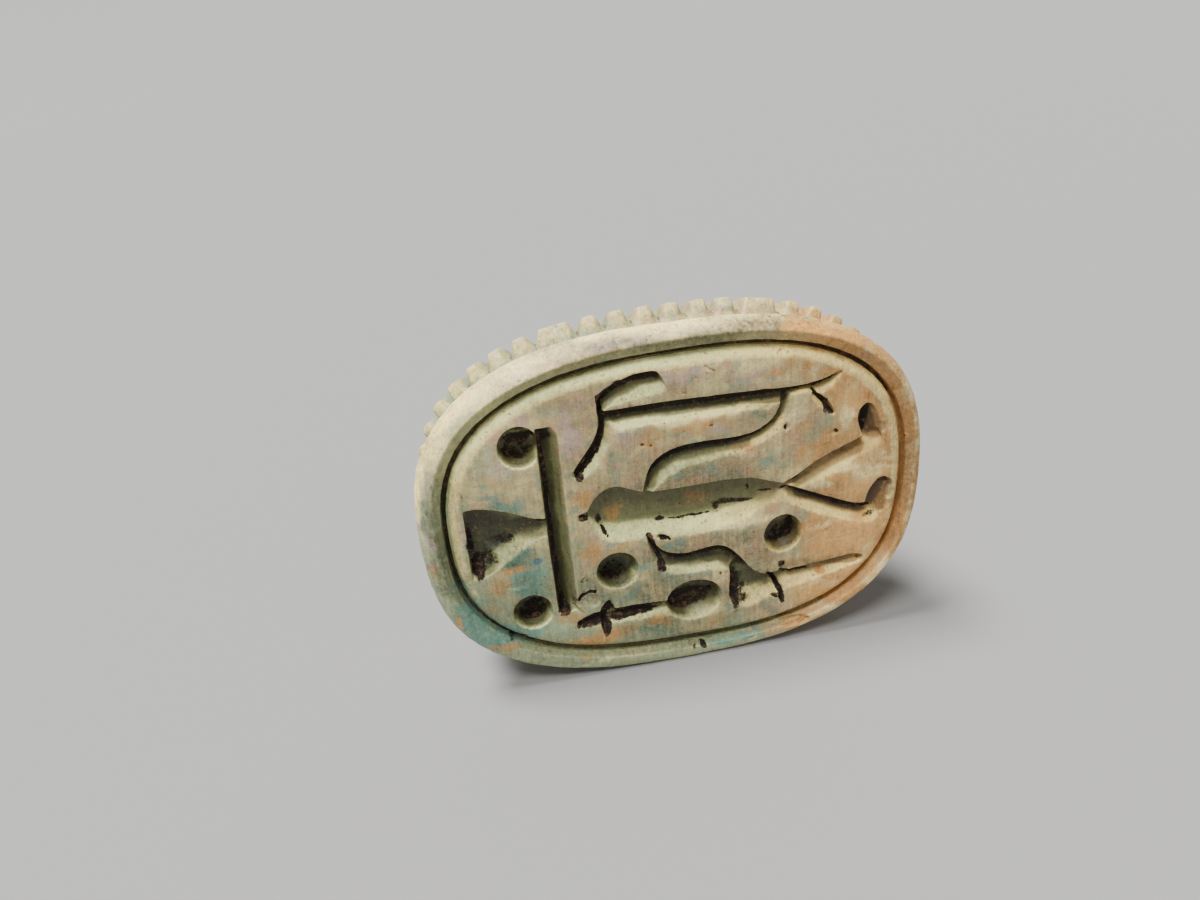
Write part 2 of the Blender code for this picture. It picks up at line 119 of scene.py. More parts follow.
def bumps(spots, size, seed):
    # smooth random bumps from -1 to 1, one about every size mm
    side = 32    # bumps along each side of the random block, which then repeats
    block = np.random.default_rng(seed).uniform(-1, 1, (side, side, side))
    place = spots / size + 100
    cell = np.floor(place).astype(int)
    part = place - cell
    part = part * part * (3 - 2 * part)
    value = np.zeros(len(spots))
    for corner in range(8):
        step = np.array([corner & 1, corner >> 1 & 1, corner >> 2 & 1])
        weight = np.prod(np.where(step, part, 1 - part), axis=1)
        at = (cell + step) % side
        value += weight * block[at[:, 0], at[:, 1], at[:, 2]]
    return value


def layeredBumps(spots, layers, seedShift=0):
    # each layer is a height, a size and a seed
    return sum(height * bumps(spots, size, seed + seedShift) for height, size, seed in layers)


def nearPatches(x, z, patches):
    # 1 in the middle of a patch, 0.5 on its edge, 0 outside it
    found = np.zeros(len(x))
    for middleX, middleZ, halfWidth, halfHeight, strength in patches:
        away = np.hypot((x - middleX) / halfWidth, (z - middleZ) / halfHeight)
        found = np.maximum(found, strength * np.clip(1.5 - away, 0, 1))
    return found


def nearPaths(x, z, paths):
    # the same for strokes: each has a half width and then its points
    found = np.zeros(len(x))
    for halfWidth, *route in paths:
        for (startX, startZ), (endX, endZ) in zip(route, route[1:]):
            runX, runZ = endX - startX, endZ - startZ
            share = ((x - startX) * runX + (z - startZ) * runZ) / (runX * runX + runZ * runZ)
            share = np.clip(share, 0, 1)
            away = np.hypot(x - startX - runX * share, z - startZ - runZ * share) / halfWidth
            found = np.maximum(found, np.clip(1.5 - away, 0, 1))
    return found


def setLayer(mesh, name, values):
    layer = mesh.attributes.new(name, "FLOAT", "POINT")
    layer.data.foreach_set("value", values.astype(np.float32))


def appliedMesh(piece):
    # the piece's mesh with its modifiers applied
    graph = bpy.context.evaluated_depsgraph_get()
    mesh = bpy.data.meshes.new_from_object(piece.evaluated_get(graph))
    piece.modifiers.clear()
    old = piece.data
    piece.data = mesh
    bpy.data.meshes.remove(old)
    return mesh


fieldForm = {
    "middle": (0.25, -0.4),    # from the middle of the figure, mm
    "half": (22.2, 15.93),
    "flare": 0.02,             # it widens a little towards the tail
    "squareness": 2.64,
}


def ringOf(x, z):
    # 1 on the edge of the carved field, less inside it and more outside
    form = fieldForm
    along = (x - form["middle"][0]) / form["half"][0]
    upward = (z - form["middle"][1]) / (form["half"][1] * (1 + form["flare"] * along))
    power = form["squareness"]
    return (np.abs(along) ** power + np.abs(upward) ** power) ** (1 / power)


def beyondField(x, z):
    # how far a point is outside the edge of the field, and below 0 inside it, in mm
    away = np.hypot(x - fieldForm["middle"][0], z - fieldForm["middle"][1])
    return away * (1 - 1 / np.maximum(ringOf(x, z), 0.2))


stoneForm = {
    "voxel": 0.00011,         # finest detail kept from the solid, m
    "faceRounds": 1,          # relaxing rounds on the carved face
    "wallRounds": 34,         # on the smooth outer wall and the beetle's back
    "gentleShare": 0.8,       # how much of that reaches the gentle slopes inside the cuts
    "rimShare": 0.12,         # how much of that reaches the rim
    "teethShare": 0.14,       # how much of that reaches the notched legs
    "backMiddle": 0.3,        # the beetle's back inside its legs, mm
    "backHalf": (21.5, 15.2),
    "backSquareness": 2.64,
    "frontDepth": 3.0,        # what is thinned as the face, mm
    "faceTriangles": 128000,
    "backTriangles": 62000,
}


def stoneStart():
    form = bmesh.new()
    form.from_mesh(frame["nodes"]["scarab_amulet"].data)
    bmesh.ops.remove_doubles(form, verts=form.verts, dist=0.000001)
    mesh = bpy.data.meshes.new("carvedScarab")
    form.to_mesh(mesh)
    form.free()
    piece = bpy.data.objects.new("carvedScarab", mesh)
    bpy.context.scene.collection.objects.link(piece)
    remesh = piece.modifiers.new("voxels", "REMESH")
    remesh.mode = "VOXEL"
    remesh.voxel_size = stoneForm["voxel"]
    mesh = appliedMesh(piece)
    print("stone remeshed:", len(mesh.vertices), "points")
    return piece


def relaxStone(mesh):
    # the facets of the wall and the back melt away, while the face and the notches stay crisp
    form = stoneForm
    spots = pointsOf(mesh)
    pairs = edgesOf(mesh)
    x, z, depth = faceLayout(spots)
    ring = ringOf(x, z)
    # floors and gentle slopes flow into each other, but steep edges stay
    steep = relaxOne(1 - ease(-normalsOf(mesh)[:, 1], 0.55, 0.8), pairs, 2)
    gentle = form["gentleShare"] * (1 - ease(steep, 0.0, 0.25))
    gentle *= 1 - ease(ring, 0.93, 0.96)
    gentle *= 1 - ease(depth, 1.7, 2.0)
    rim = form["rimShare"] * ease(ring, 1.035, 1.06)
    wall = np.maximum(np.maximum(ease(depth, 1.6, 2.4), rim), gentle)
    along = np.abs((x - form["backMiddle"]) / form["backHalf"][0])
    upward = np.abs(z / form["backHalf"][1])
    dome = along ** form["backSquareness"] + upward ** form["backSquareness"]
    teeth = ease(depth, 3.2, 3.9) * ease(dome, 0.95, 1.05) * (1 - ease(depth, 10.2, 10.8))
    share = wall * (1 - (1 - form["teethShare"]) * teeth)
    spots = relax(spots, pairs, form["faceRounds"])
    spots = relax(spots, pairs, form["wallRounds"], 0.5 * share[:, None])
    movePoints(mesh, spots)
    print("stone relaxed")


rimForm = {
    "crest": (1.15, 0.35),    # from the groove out to the crest, and how much more at the top, mm
    "bevel": 0.62,            # how far the inner slope drops from the crest to the groove
    "outer": 1.3,             # width of the outer slope
    "lean": (0.5, 0.62),      # its drop half way up, and how much more that is at the top
    "fieldEdge": 1.15,        # width of the rounding on the edge of the field
    "fieldDrop": 0.32,
    "barDrop": 0.36,          # how much wider and lower the slope beside the upright bar gets
}


def crestPlace(z):
    return rimForm["crest"][0] + rimForm["crest"][1] * np.clip(z / 12, 0, 1)


def shapeRim(mesh):
    # the rim has a crest: it slopes in to the groove and out to the wall
    form = rimForm
    spots = pointsOf(mesh)
    x, z, depth = faceLayout(spots)
    beyond = beyondField(x, z)
    crest = crestPlace(z)
    bevel = form["bevel"] * np.clip((crest - beyond) / (crest - 0.2), 0, 1)
    onBevel = ease(beyond, 0.15, 0.35) * (1 - ease(beyond, 1.7, 2.0)) * (1 - ease(depth, 0.9, 1.3))
    lean = form["lean"][0] + form["lean"][1] * np.clip(z / 16, -0.75, 1)
    outer = lean * np.clip((beyond - crest) / form["outer"], 0, 1) ** 1.25
    outer *= 1 - ease(depth, 0.0, 2.8)
    rounding = np.clip(beyond / form["fieldEdge"] + 1, 0, 1) ** 1.6 * (1 - ease(beyond, -0.15, 0.05))
    bar = form["barDrop"] * ease(-x, 10.4, 11.5) * (1 - ease(-x, 12.2, 12.5))
    bar *= 1 - ease(np.abs(z - 0.1), 9.0, 10.2)
    spots[:, 1] += (bevel - depth) * onBevel + outer + form["fieldDrop"] * rounding + bar
    movePoints(mesh, spots)
    print("rim shaped")


# wear that takes stone away, all in mm; bumps are height, size and seed
wear = {
    # pits and chips: x, z, half width, half height and depth
    "pits": [
        (-3.3, 7.3, 0.24, 0.2, 0.10), (-2.5, 7.15, 0.2, 0.22, 0.08), (-2.0, 7.6, 0.18, 0.2, 0.07),
        (3.3, 8.2, 0.24, 0.18, 0.10), (1.0, 11.75, 0.34, 0.14, 0.14), (8.5, 9.1, 0.22, 0.2, 0.12),
        (10.4, 6.9, 0.26, 0.36, 0.3), (11.7, 7.5, 0.18, 0.14, 0.08), (15.3, 5.6, 0.36, 0.3, 0.12),
        (14.7, 5.4, 0.16, 0.18, 0.08), (6.6, -5.6, 0.3, 0.4, 0.12), (14.9, -5.6, 0.3, 0.24, 0.10),
        (10.0, 3.4, 0.16, 0.15, 0.08), (8.2, 2.6, 0.16, 0.16, 0.08), (10.5, 2.35, 0.26, 0.18, 0.08),
        (16.3, 3.1, 0.22, 0.16, 0.12), (4.5, -8.7, 0.2, 0.26, 0.12), (3.85, -8.6, 0.16, 0.28, 0.10),
        (-6.0, 6.6, 0.2, 0.26, 0.07), (0.8, -17.1, 0.42, 0.4, 0.22), (1.75, -17.2, 0.42, 0.5, 0.34),
        (7.0, -17.6, 0.3, 0.2, 0.12), (-4.1, -13.9, 0.18, 0.16, 0.10), (8.4, 17.6, 0.5, 0.14, 0.12),
        (-19.6, 7.4, 0.26, 0.26, 0.06), (13.3, 14.2, 0.5, 0.3, 0.1), (16.6, 11.9, 0.3, 0.4, 0.08),
    ],
    "chips": [
        (-16.4, -5.9, 1.0, 0.42, 0.10), (11.9, -16.5, 1.5, 0.6, 0.36), (10.8, -16.3, 0.7, 0.5, 0.26),
        (21.2, -1.9, 0.5, 0.9, 0.3), (18.6, -9.7, 0.3, 0.35, 0.3), (19.9, 5.2, 0.35, 0.5, 0.16),
        (9.3, -11.7, 0.8, 0.5, 0.2), (-9.4, -9.3, 0.9, 0.7, 0.14), (15.6, 12.6, 0.6, 0.3, 0.08),
        (-16.6, -12.3, 0.6, 0.35, 0.2), (-6.1, 10.0, 0.4, 0.3, 0.06), (-23.4, 8.5, 0.5, 0.9, 0.1),
    ],
    # cracks and hairlines: half width, then the points of the route
    "cracks": [
        (0.22, (8.7, -9.7), (9.6, -10.7), (10.1, -11.8), (10.25, -13.2)),
        (0.13, (9.3, -12.3), (10.1, -12.45)), (0.13, (-7.7, -0.7), (-7.45, -1.2), (-7.15, -1.8)),
        (0.16, (-2.1, -3.1), (-1.6, -3.05), (-1.2, -3.35)),
        (0.11, (-10.6, -8.9), (-10.2, -8.3), (-9.4, -8.0), (-8.8, -8.15)),
        (0.12, (-11.2, -9.5), (-10.7, -10.1), (-10.3, -10.6)), (0.10, (2.9, 14.1), (3.7, 13.5)),
    ],
    "hairlines": [
        (0.09, (9.25, 4.8), (9.1, 2.6), (9.3, 0.6)), (0.08, (6.0, 4.3), (5.9, 2.6)),
        (0.08, (12.3, 7.0), (12.2, 4.0), (12.4, 1.6)), (0.08, (13.3, 8.4), (13.2, 6.0), (13.5, 4.6)),
        (0.08, (9.4, -0.3), (9.8, -1.6)), (0.08, (4.3, 4.6), (4.2, 3.1)),
    ],
    "crackDepth": 2.0,        # for each mm of half width
    "hairlineDepth": 0.03,
    "wander": (0.16, 0.7),    # how far outlines stray, and over what length
    "bites": ((1.0, 0.9, 11), (0.5, 0.4, 12)),
    "biteDepth": 0.16,
    "uneven": ((0.028, 2.6, 21), (0.014, 0.9, 22), (0.006, 0.35, 23)),
    "skin": 0.03,             # the whole skin sinks this far, which leaves room for the bumps
}


def wearStone(mesh):
    spots = pointsOf(mesh)
    normals = normalsOf(mesh)
    pairs = edgesOf(mesh)
    x, z, depth = faceLayout(spots)
    front = ease(-normals[:, 1], 0.05, 0.4) * (1 - ease(depth, 3.0, 3.6))
    reach, size = wear["wander"]
    x, z = x + bumps(spots, size, 5) * reach, z + bumps(spots, size, 6) * reach
    taken = wear["hairlineDepth"] * ease(nearPaths(x, z, wear["hairlines"]), 0.25, 0.8)
    for crack in wear["cracks"]:
        near = ease(nearPaths(x, z, [crack]), 0.25, 0.8)
        taken = np.maximum(taken, wear["crackDepth"] * crack[0] * near)
    rough = 1 + 0.35 * bumps(spots, 0.45, 8)
    for kind, low, high, texture in (("pits", 0.2, 0.9, 1.0), ("chips", 0.35, 0.65, rough)):
        for *place, deep in wear[kind]:
            near = ease(nearPatches(x, z, [(*place, 1)]), low, high)
            taken = np.maximum(taken, deep * texture * near)
    # edges lose small bites, and the whole skin is a little uneven
    ridge = np.einsum("ij,ij->i", spots - relax(spots, pairs, 8), normals)
    bites = ease(layeredBumps(spots, wear["bites"]), 0.35, 1.1) * ease(ridge, 0.012, 0.05)
    uneven = layeredBumps(spots, wear["uneven"])
    spots -= normals * (taken * front + wear["biteDepth"] * bites)[:, None]
    spots += normals * (uneven - wear["skin"])[:, None]
    keepInside(mesh, spots)
    setLayer(mesh, "taken", np.clip(taken * front * 4, 0, 1))
    print("stone worn")


reliefMap = {
    "cell": 0.12,                      # mm
    "low": (-24.0, -18.4),
    "cells": (400, 300),
    "turns": (-30, -18, -8, 4, 16),    # ways that light and clean water reach a cut, degrees from straight up
    "slants": (0.2, 0.34, 0.54, 0.8),
    "reach": 5.0,
    "step": 0.24,
}


def depthMap(spots):
    # the face as a grid of depths
    x, z, depth = faceLayout(spots)
    shape = reliefMap["cells"]
    face = (depth < 3.2) & (ringOf(x, z) < 1.01)
    across = ((x[face] - reliefMap["low"][0]) / reliefMap["cell"]).astype(int).clip(0, shape[0] - 1)
    upward = ((z[face] - reliefMap["low"][1]) / reliefMap["cell"]).astype(int).clip(0, shape[1] - 1)
    grid = np.full(shape, np.inf)
    np.minimum.at(grid, (across, upward), depth[face])
    for _ in range(3):
        near = np.stack([np.roll(grid, step, axis) for axis in (0, 1) for step in (1, -1)])
        grid = np.where(np.isinf(grid), near.min(axis=0), grid)
    return np.where(np.isinf(grid), 0, grid)


def leeShadowMap(grid):
    # how much of each place lies in the lee of a higher edge above it, from 0 to 1: a cast shadow that is
    # painted into the colour
    cell = reliefMap["cell"]
    found = np.zeros_like(grid)
    for turn in reliefMap["turns"]:
        side, up = math.sin(math.radians(turn)), math.cos(math.radians(turn))
        rise = {slant: np.full_like(grid, -1) for slant in reliefMap["slants"]}
        for far in np.arange(reliefMap["step"], reliefMap["reach"], reliefMap["step"]):
            shift = (-round(far * side / cell), -round(far * up / cell))
            step = grid - np.roll(grid, shift, (0, 1))
            for slant in rise:
                rise[slant] = np.maximum(rise[slant], step - slant * far)
        found += sum(ease(value, 0.0, 0.14) for value in rise.values())
    return found / (len(reliefMap["turns"]) * len(reliefMap["slants"]))


def fromMap(grid, x, z):
    # the grid's values at any place, blended from the four nearest cells
    across = ((x - reliefMap["low"][0]) / reliefMap["cell"] - 0.5).clip(0, grid.shape[0] - 1.001)
    upward = ((z - reliefMap["low"][1]) / reliefMap["cell"] - 0.5).clip(0, grid.shape[1] - 1.001)
    column, row = across.astype(int), upward.astype(int)
    right, above = across - column, upward - row
    low = grid[column, row] * (1 - right) + grid[column + 1, row] * right
    high = grid[column, row + 1] * (1 - right) + grid[column + 1, row + 1] * right
    return low * (1 - above) + high * above


def readRelief(mesh):
    spots = pointsOf(mesh)
    normals = normalsOf(mesh)
    pairs = edgesOf(mesh)
    x, z, depth = faceLayout(spots)
    inField = (1 - ease(ringOf(x, z), 0.985, 1.005)) * (1 - ease(depth, 2.6, 3.2))
    # how far the surface bends inwards (above 0) or outwards (below 0) within about 0.3 mm
    bend = np.einsum("ij,ij->i", relax(spots, pairs, 14) - spots, normals)
    # the cast shadow of each edge, kept as a layer that paints shadow and grime into the colour
    leeShadowAndGrime = fromMap(leeShadowMap(depthMap(spots)), x, z) * inField * ease(depth, 0.06, 0.3)
    setLayer(mesh, "bend", np.clip(bend / 0.09, -1, 1))
    setLayer(mesh, "leeShadowAndGrime", relaxOne(leeShadowAndGrime, pairs, 5))
    setLayer(mesh, "cut", inField * ease(depth, 0.2, 0.7))
    # slopes that face up inside the field, which the material paints paler as light
    setLayer(mesh, "litSlope", inField * relaxOne(ease(normals[:, 2], 0.12, 0.55), pairs, 12))
    print("relief read: bend %.3f to %.3f" % (bend.min(), bend.max()))


def thinPoints(piece, name, chosen, triangles):
    # thins only the chosen points, until the whole piece has this many triangles
    group = piece.vertex_groups.new(name=name)
    group.add([int(index) for index in np.flatnonzero(chosen)], 1.0, "REPLACE")
    thin = piece.modifiers.new("thin", "DECIMATE")
    thin.vertex_group = name
    thin.ratio = triangles / trianglesOf(piece.data)
    mesh = appliedMesh(piece)
    piece.vertex_groups.clear()
    print("thinned", name, "to", trianglesOf(mesh), "triangles in all")


def onFace(mesh):
    return faceLayout(pointsOf(mesh))[2] < stoneForm["frontDepth"]


def thinStone(piece):
    face = onFace(piece.data)
    triangles = trianglesOf(piece.data) * face.mean() + stoneForm["backTriangles"]
    thinPoints(piece, "back", ~face, triangles)
    triangles = stoneForm["faceTriangles"] + stoneForm["backTriangles"]
    thinPoints(piece, "face", onFace(piece.data), triangles)
    keepInside(piece.data, pointsOf(piece.data))


# colour laid on the stone, to which the material gives ragged edges: a patch is x, z, half width,
# half height and strength, and a stroke is its half width and then the points of its route, in mm
marks = {
    # dark marks in corners and cracks: dirt, and painted shadow at the foot of walls
    "soilAndShadow": [
        (-12.1, 9.3, 0.75, 0.7, 0.8), (-19.7, -3.4, 0.6, 1.3, 0.95), (-18.6, -2.7, 1.3, 1.0, 0.5),
        (-20.1, -0.6, 0.4, 1.6, 0.75), (-16.8, -0.9, 1.6, 0.7, 0.56), (5.5, -11.3, 0.55, 2.2, 1.0),
        (6.4, -12.5, 0.7, 0.6, 0.62), (6.4, -11.4, 1.0, 0.7, 0.56), (4.9, -0.8, 1.7, 0.36, 0.7),
        (3.8, -1.1, 0.4, 0.5, 0.8), (6.7, -0.8, 1.2, 0.2, 0.7), (-2.0, -1.5, 0.55, 0.28, 0.8),
        (0.9, -1.7, 3.6, 0.2, 0.6), (6.9, 0.6, 0.2, 0.4, 0.7), (8.6, 0.0, 0.9, 0.12, 0.8),
        (-9.4, -11.8, 1.6, 0.62, 1.0), (-5.5, -11.8, 3.0, 0.46, 1.0), (-7.7, -10.6, 0.55, 0.8, 1.0),
        (-8.1, -12.7, 0.5, 1.4, 1.0), (-11.0, -12.1, 0.4, 0.3, 0.9), (-10.2, -12.2, 0.8, 0.3, 0.7),
        (-6.9, -12.1, 0.5, 0.4, 0.7), (-2.2, -6.4, 0.4, 0.8, 0.9), (19.3, -4.6, 0.9, 0.3, 0.56),
        (20.7, -0.9, 0.9, 0.25, 0.7), (19.0, -3.8, 0.8, 0.25, 0.62), (18.4, 6.1, 0.36, 1.5, 0.9),
        (-9.3, 5.0, 0.4, 0.45, 1.0), (-9.3, 0.4, 0.6, 0.25, 0.8), (1.9, -17.5, 0.36, 0.4, 0.9),
        (0.9, -17.5, 0.3, 0.36, 0.56), (-7.8, -0.3, 0.34, 0.6, 0.62), (-9.9, -6.5, 0.7, 0.45, 0.56),
        (-17.6, -12.4, 0.5, 0.4, 0.56), (-12.2, -9.8, 0.8, 1.0, 0.66), (-12.0, -10.1, 0.4, 0.5, 0.9),
        (14.3, 8.3, 0.26, 0.8, 0.9), (14.7, 7.7, 0.3, 0.4, 0.8), (10.5, 6.7, 0.2, 0.36, 0.7),
        (12.3, -10.3, 1.6, 0.16, 0.6), (10.2, -8.7, 0.4, 0.5, 1.0), (10.2, 0.0, 1.3, 0.16, 0.6),
        (-10.8, -9.0, 0.5, 0.6, 0.56), (-3.2, 7.2, 0.24, 0.2, 0.6), (-2.4, 7.0, 0.2, 0.22, 0.6),
        (3.3, 8.1, 0.24, 0.18, 0.6), (15.4, 5.5, 0.3, 0.26, 0.6), (3.9, -8.6, 0.18, 0.3, 0.56),
    ],
    # dirt that lies only on the floors of the round cuts
    "soilFloors": [
        (-15.2, 7.5, 1.2, 1.2, 0.66), (-14.2, 9.3, 1.5, 0.5, 0.8), (-15.4, -11.0, 1.3, 1.1, 0.8),
        (-15.0, -9.3, 1.3, 0.5, 0.66), (-7.1, -7.9, 1.2, 0.8, 0.8), (-6.6, -6.9, 1.7, 1.6, 0.5),
        (-14.5, 8.0, 1.8, 1.8, 0.5), (-15.2, -10.3, 1.7, 1.7, 0.54), (10.5, -6.0, 1.6, 1.5, 0.48),
        (1.6, -11.9, 2.0, 1.3, 0.5), (11.6, -5.5, 0.75, 1.5, 1.0), (9.9, -6.8, 1.1, 0.34, 0.75),
        (-0.3, -12.3, 1.2, 1.5, 1.0), (1.0, -11.2, 1.8, 0.6, 0.8), (3.0, -11.2, 0.7, 0.4, 0.66),
    ],
    # dark strokes along the steep walls: dirt and painted shadow
    "soilAndShadowStrokes": [
        (0.22, (-12.5, 9.7), (-12.4, 1.3), (-12.4, -6.8), (-12.2, -10.1)),
        (0.27, (-6.9, 12.6), (-6.6, 10.5), (-6.7, 9.1), (-7.3, 7.5), (-8.3, 6.2), (-9.3, 5.1)),
        (0.22, (-6.7, 12.8), (-5.2, 13.8), (-2.4, 13.7)),
        (0.24, (-3.3, -2.7), (-2.6, -4.6), (-2.2, -5.8), (-1.8, -7.0)),
        (0.26, (9.0, -9.8), (9.9, -11.5), (10.2, -12.3), (10.3, -13.4)),
        (0.12, (9.2, -12.5), (10.3, -13.0)), (0.14, (-7.6, -1.2), (-7.4, -1.6), (-7.1, -2.1)),
        (0.16, (-2.1, -3.3), (-1.6, -3.3), (-1.2, -3.5)),
        (0.11, (-10.6, -9.0), (-10.2, -8.4), (-9.4, -8.1), (-8.8, -8.25)),
        (0.16, (13.0, 10.0), (14.1, 8.6), (15.0, 7.5)),
    ],
    # strokes of dull old patina and painted shade along the cuts
    "dull": [
        (1.15, (-11.8, 9.2), (-11.9, -0.5), (-11.8, -9.5)), (1.9, (-19.1, 0.8), (-17.8, 0.1)),
        (1.0, (-17.0, 0.1), (-13.6, 0.1)), (1.3, (-19.4, -1.8), (-19.2, -3.2)),
        (1.7, (-6.9, 0.8), (-5.4, 0.7)), (1.6, (-4.6, 0.4), (0.2, 0.2), (3.8, 0.2)),
        (1.3, (3.8, 0.2), (8.6, 0.3)), (0.5, (-6.5, 11.7), (-5.5, 12.6), (-3.4, 13.2), (-1.7, 13.4)),
        (0.6, (11.8, 0.7), (14.4, 1.8), (17.9, 3.4)), (0.66, (11.4, -0.5), (14.4, -2.05), (18.4, -3.8)),
        (0.6, (-2.4, -5.0), (-1.2, -6.3), (0.7, -6.8), (3.8, -6.7), (5.0, -7.7)),
        (0.75, (19.1, 7.3), (19.3, 4.7)), (0.9, (20.3, -1.6), (20.2, -3.6)),
        (0.4, (11, -9.4), (18.0, -9.8)),
        (0.6, (-2.8, 2.9), (-2.1, 4.3), (-0.4, 5.3), (3.2, 5.6), (6.6, 5.9)),
        (0.3, (-5.5, 10.0), (5.2, 9.9), (10.4, 9.7)), (0.9, (6.0, -10.4), (7.4, -10.3), (8.9, -9.8)),
        (1.6, (-14.5, 8.1), (-14.4, 7.9)), (1.5, (-15.3, -10.2), (-15.2, -10.3)),
        (1.6, (-6.6, -7.0), (-6.5, -7.2)), (1.4, (10.4, -5.9), (10.8, -5.8)),
        (1.4, (0.0, -12.1), (2.4, -11.6)),
    ],
    # strokes of the darkest floors, which are stained and painted with shade
    "deep": [
        (0.3, (-6.2, 10.22), (2, 10.14), (9.8, 9.97)),
        (0.4, (-3.2, 2.9), (-2.6, 4.4), (-1.0, 5.5), (1.0, 5.9), (5, 6.0), (8, 6.9), (9.6, 8.4)),
        (0.45, (10.4, 9.8), (10.2, 8.6), (9.4, 7.5)), (0.5, (12, -0.9), (15, -2.2), (18.4, -3.8)),
        (0.5, (-1.4, -6.5), (2.0, -6.6), (4.6, -7.4)), (1.7, (-19.3, 1.0), (-17.6, 0.2)),
        (0.8, (-17.0, 0.2), (-14.0, 0.3)), (1.2, (-19.7, -1.8), (-19.4, -3.5)),
        (1.5, (-14.7, 8.3), (-14.5, 8.1)), (1.4, (-15.3, -10.1), (-15.2, -10.5)),
        (1.5, (-6.7, -6.8), (-6.6, -7.1)), (1.3, (10.3, -5.8), (11.1, -5.8)),
        (1.3, (-0.4, -12.2), (0.8, -11.7), (2.6, -11.1)),
        (0.6, (-12.1, 9.5), (-12.2, -0.7), (-12.1, -9.8)), (0.6, (19.0, 7.6), (19.0, 5.1)),
        (0.6, (20.3, -1.5), (19.4, -3.3)), (0.5, (5.8, -10.0), (5.5, -11.7)),
    ],
    # strokes of wide open cuts, where the olive patina and painted shadow stay but less near-black dirt and
    # shadow is laid
    "open": [
        (1.7, (-7.1, 1.7), (-3.8, 1.4), (3.3, 1.0), (8.8, 1.3)),
        (1.9, (-19.3, 1.4), (-17.4, 0.4), (-15.6, 0.2)), (0.9, (12.4, 2.2), (15, 3.4), (17.2, 4.4)),
        (1.0, (20.5, -1.4), (20.8, -3.2)), (0.9, (19.3, 7.6), (19.6, 4.7)),
        (0.7, (12.5, -9.2), (17.7, -9.7)), (1.9, (-14.5, 8.0), (-14.4, 7.9)),
        (1.9, (-15.2, -10.2), (-15.1, -10.4)), (1.9, (-6.5, -7.1), (-6.4, -7.3)),
        (1.9, (10.4, -6.0), (10.8, -6.0)), (1.9, (0.2, -12.3), (2.7, -11.9)),
        (0.8, (6.4, -10.0), (8.9, -10.4)),
    ],
    # broad areas that are paler, from handling and as painted light on slopes that face up and on the lower
    # right rim, and broad areas that are darker, from patina and as painted shade on cut floors
    "wearAndLight": [
        (-14.0, -11.8, 2.2, 0.9, 0.8), (18.6, -10.5, 2.6, 3.0, 1.0), (12.0, 16.0, 3.0, 1.0, 0.8),
        (-16.0, 9.5, 4.5, 4.0, 1.0), (0.0, 14.6, 15.0, 1.0, 1.0), (0.5, 9.1, 7.0, 0.8, 1.0),
        (15.4, 1.4, 3.6, 1.0, 1.0), (5.0, -2.6, 6.5, 0.9, 1.0), (17.0, -6.0, 4.0, 2.6, 0.9),
        (15.5, -13.0, 4.5, 1.8, 1.0), (-24.4, 5.5, 0.8, 6.0, 0.9), (16.8, 8.4, 0.9, 1.6, 0.8),
        (14.5, -16.0, 5.0, 1.4, 1.0), (0.0, 19.2, 22.0, 1.5, 1.0), (-19.0, 13.6, 3.6, 2.6, 1.0),
        (-16.6, -4.4, 1.8, 0.8, 0.5), (18.5, -0.2, 2.4, 1.6, 0.7), (-14.0, -17.6, 8.0, 0.9, 0.7),
        (6.0, -18.2, 10.0, 0.9, 1.0), (20.4, -11.5, 2.0, 3.0, 1.0), (-17.0, 16.0, 8.0, 1.4, 0.9),
    ],
    "dim": [
        (-17.0, -2.7, 2.2, 1.1, 1.0), (5.0, -4.4, 5.0, 1.2, 0.8), (1.0, 2.4, 8.0, 1.0, 0.8),
        (9.2, 9.2, 1.6, 1.0, 0.8), (13.0, -9.0, 5.0, 0.5, 0.8), (-8.0, -7.6, 3.0, 2.4, 0.8),
        (1.5, 4.2, 5.0, 1.8, 0.7), (2.0, -5.0, 7.0, 1.4, 0.7), (7.0, -11.0, 2.6, 2.6, 0.9),
        (-1.0, -14.0, 5.0, 1.6, 0.8), (-15.6, -8.6, 3.0, 3.0, 0.7), (9.4, -6.6, 3.4, 1.6, 0.6),
        (24.0, 1.0, 1.2, 6.5, 0.5), (-3.0, -9.2, 3.6, 1.8, 1.0), (-23.0, 0.0, 0.8, 5.0, 0.9),
        (-12.0, 15.0, 6.0, 1.0, 0.6), (0.0, 17.1, 14.0, 0.8, 1.0), (-16.6, -1.6, 2.4, 1.0, 0.9),
        (-22.4, -3.0, 1.0, 4.0, 0.7), (13.0, 0.4, 3.0, 1.0, 0.5),
    ],
    # stains and what is left of the glaze; the pale patches on slopes that face up and on the lower right rim
    # are also painted light
    "pale": [
        (16.4, 1.4, 3.0, 0.6, 0.9), (13.5, 0.1, 1.6, 0.5, 0.9), (4.5, 4.9, 4.0, 0.6, 0.9),
        (11.7, 8.4, 1.4, 1.6, 0.7), (16.6, 6.5, 0.7, 1.6, 0.8), (14.5, -15.8, 4.0, 1.1, 0.9),
        (20.5, -11.3, 1.6, 3.2, 0.85), (23.5, 2.0, 0.5, 6.0, 0.7), (22.4, 9.3, 0.7, 3.0, 0.7),
        (-6.0, -17.0, 7.0, 0.7, 0.5), (-21.2, 9.2, 1.6, 3.4, 0.8), (-14.0, 15.1, 4.0, 1.2, 0.8),
        (0.0, 17.3, 9.0, 1.2, 0.9), (23.4, -6.0, 0.6, 3.0, 0.6), (18.2, 1.8, 1.6, 0.9, 0.6),
        (19.6, 2.6, 1.4, 0.8, 0.6), (15.0, -4.8, 3.0, 0.5, 0.5), (-16.3, -5.8, 0.8, 0.4, 0.8),
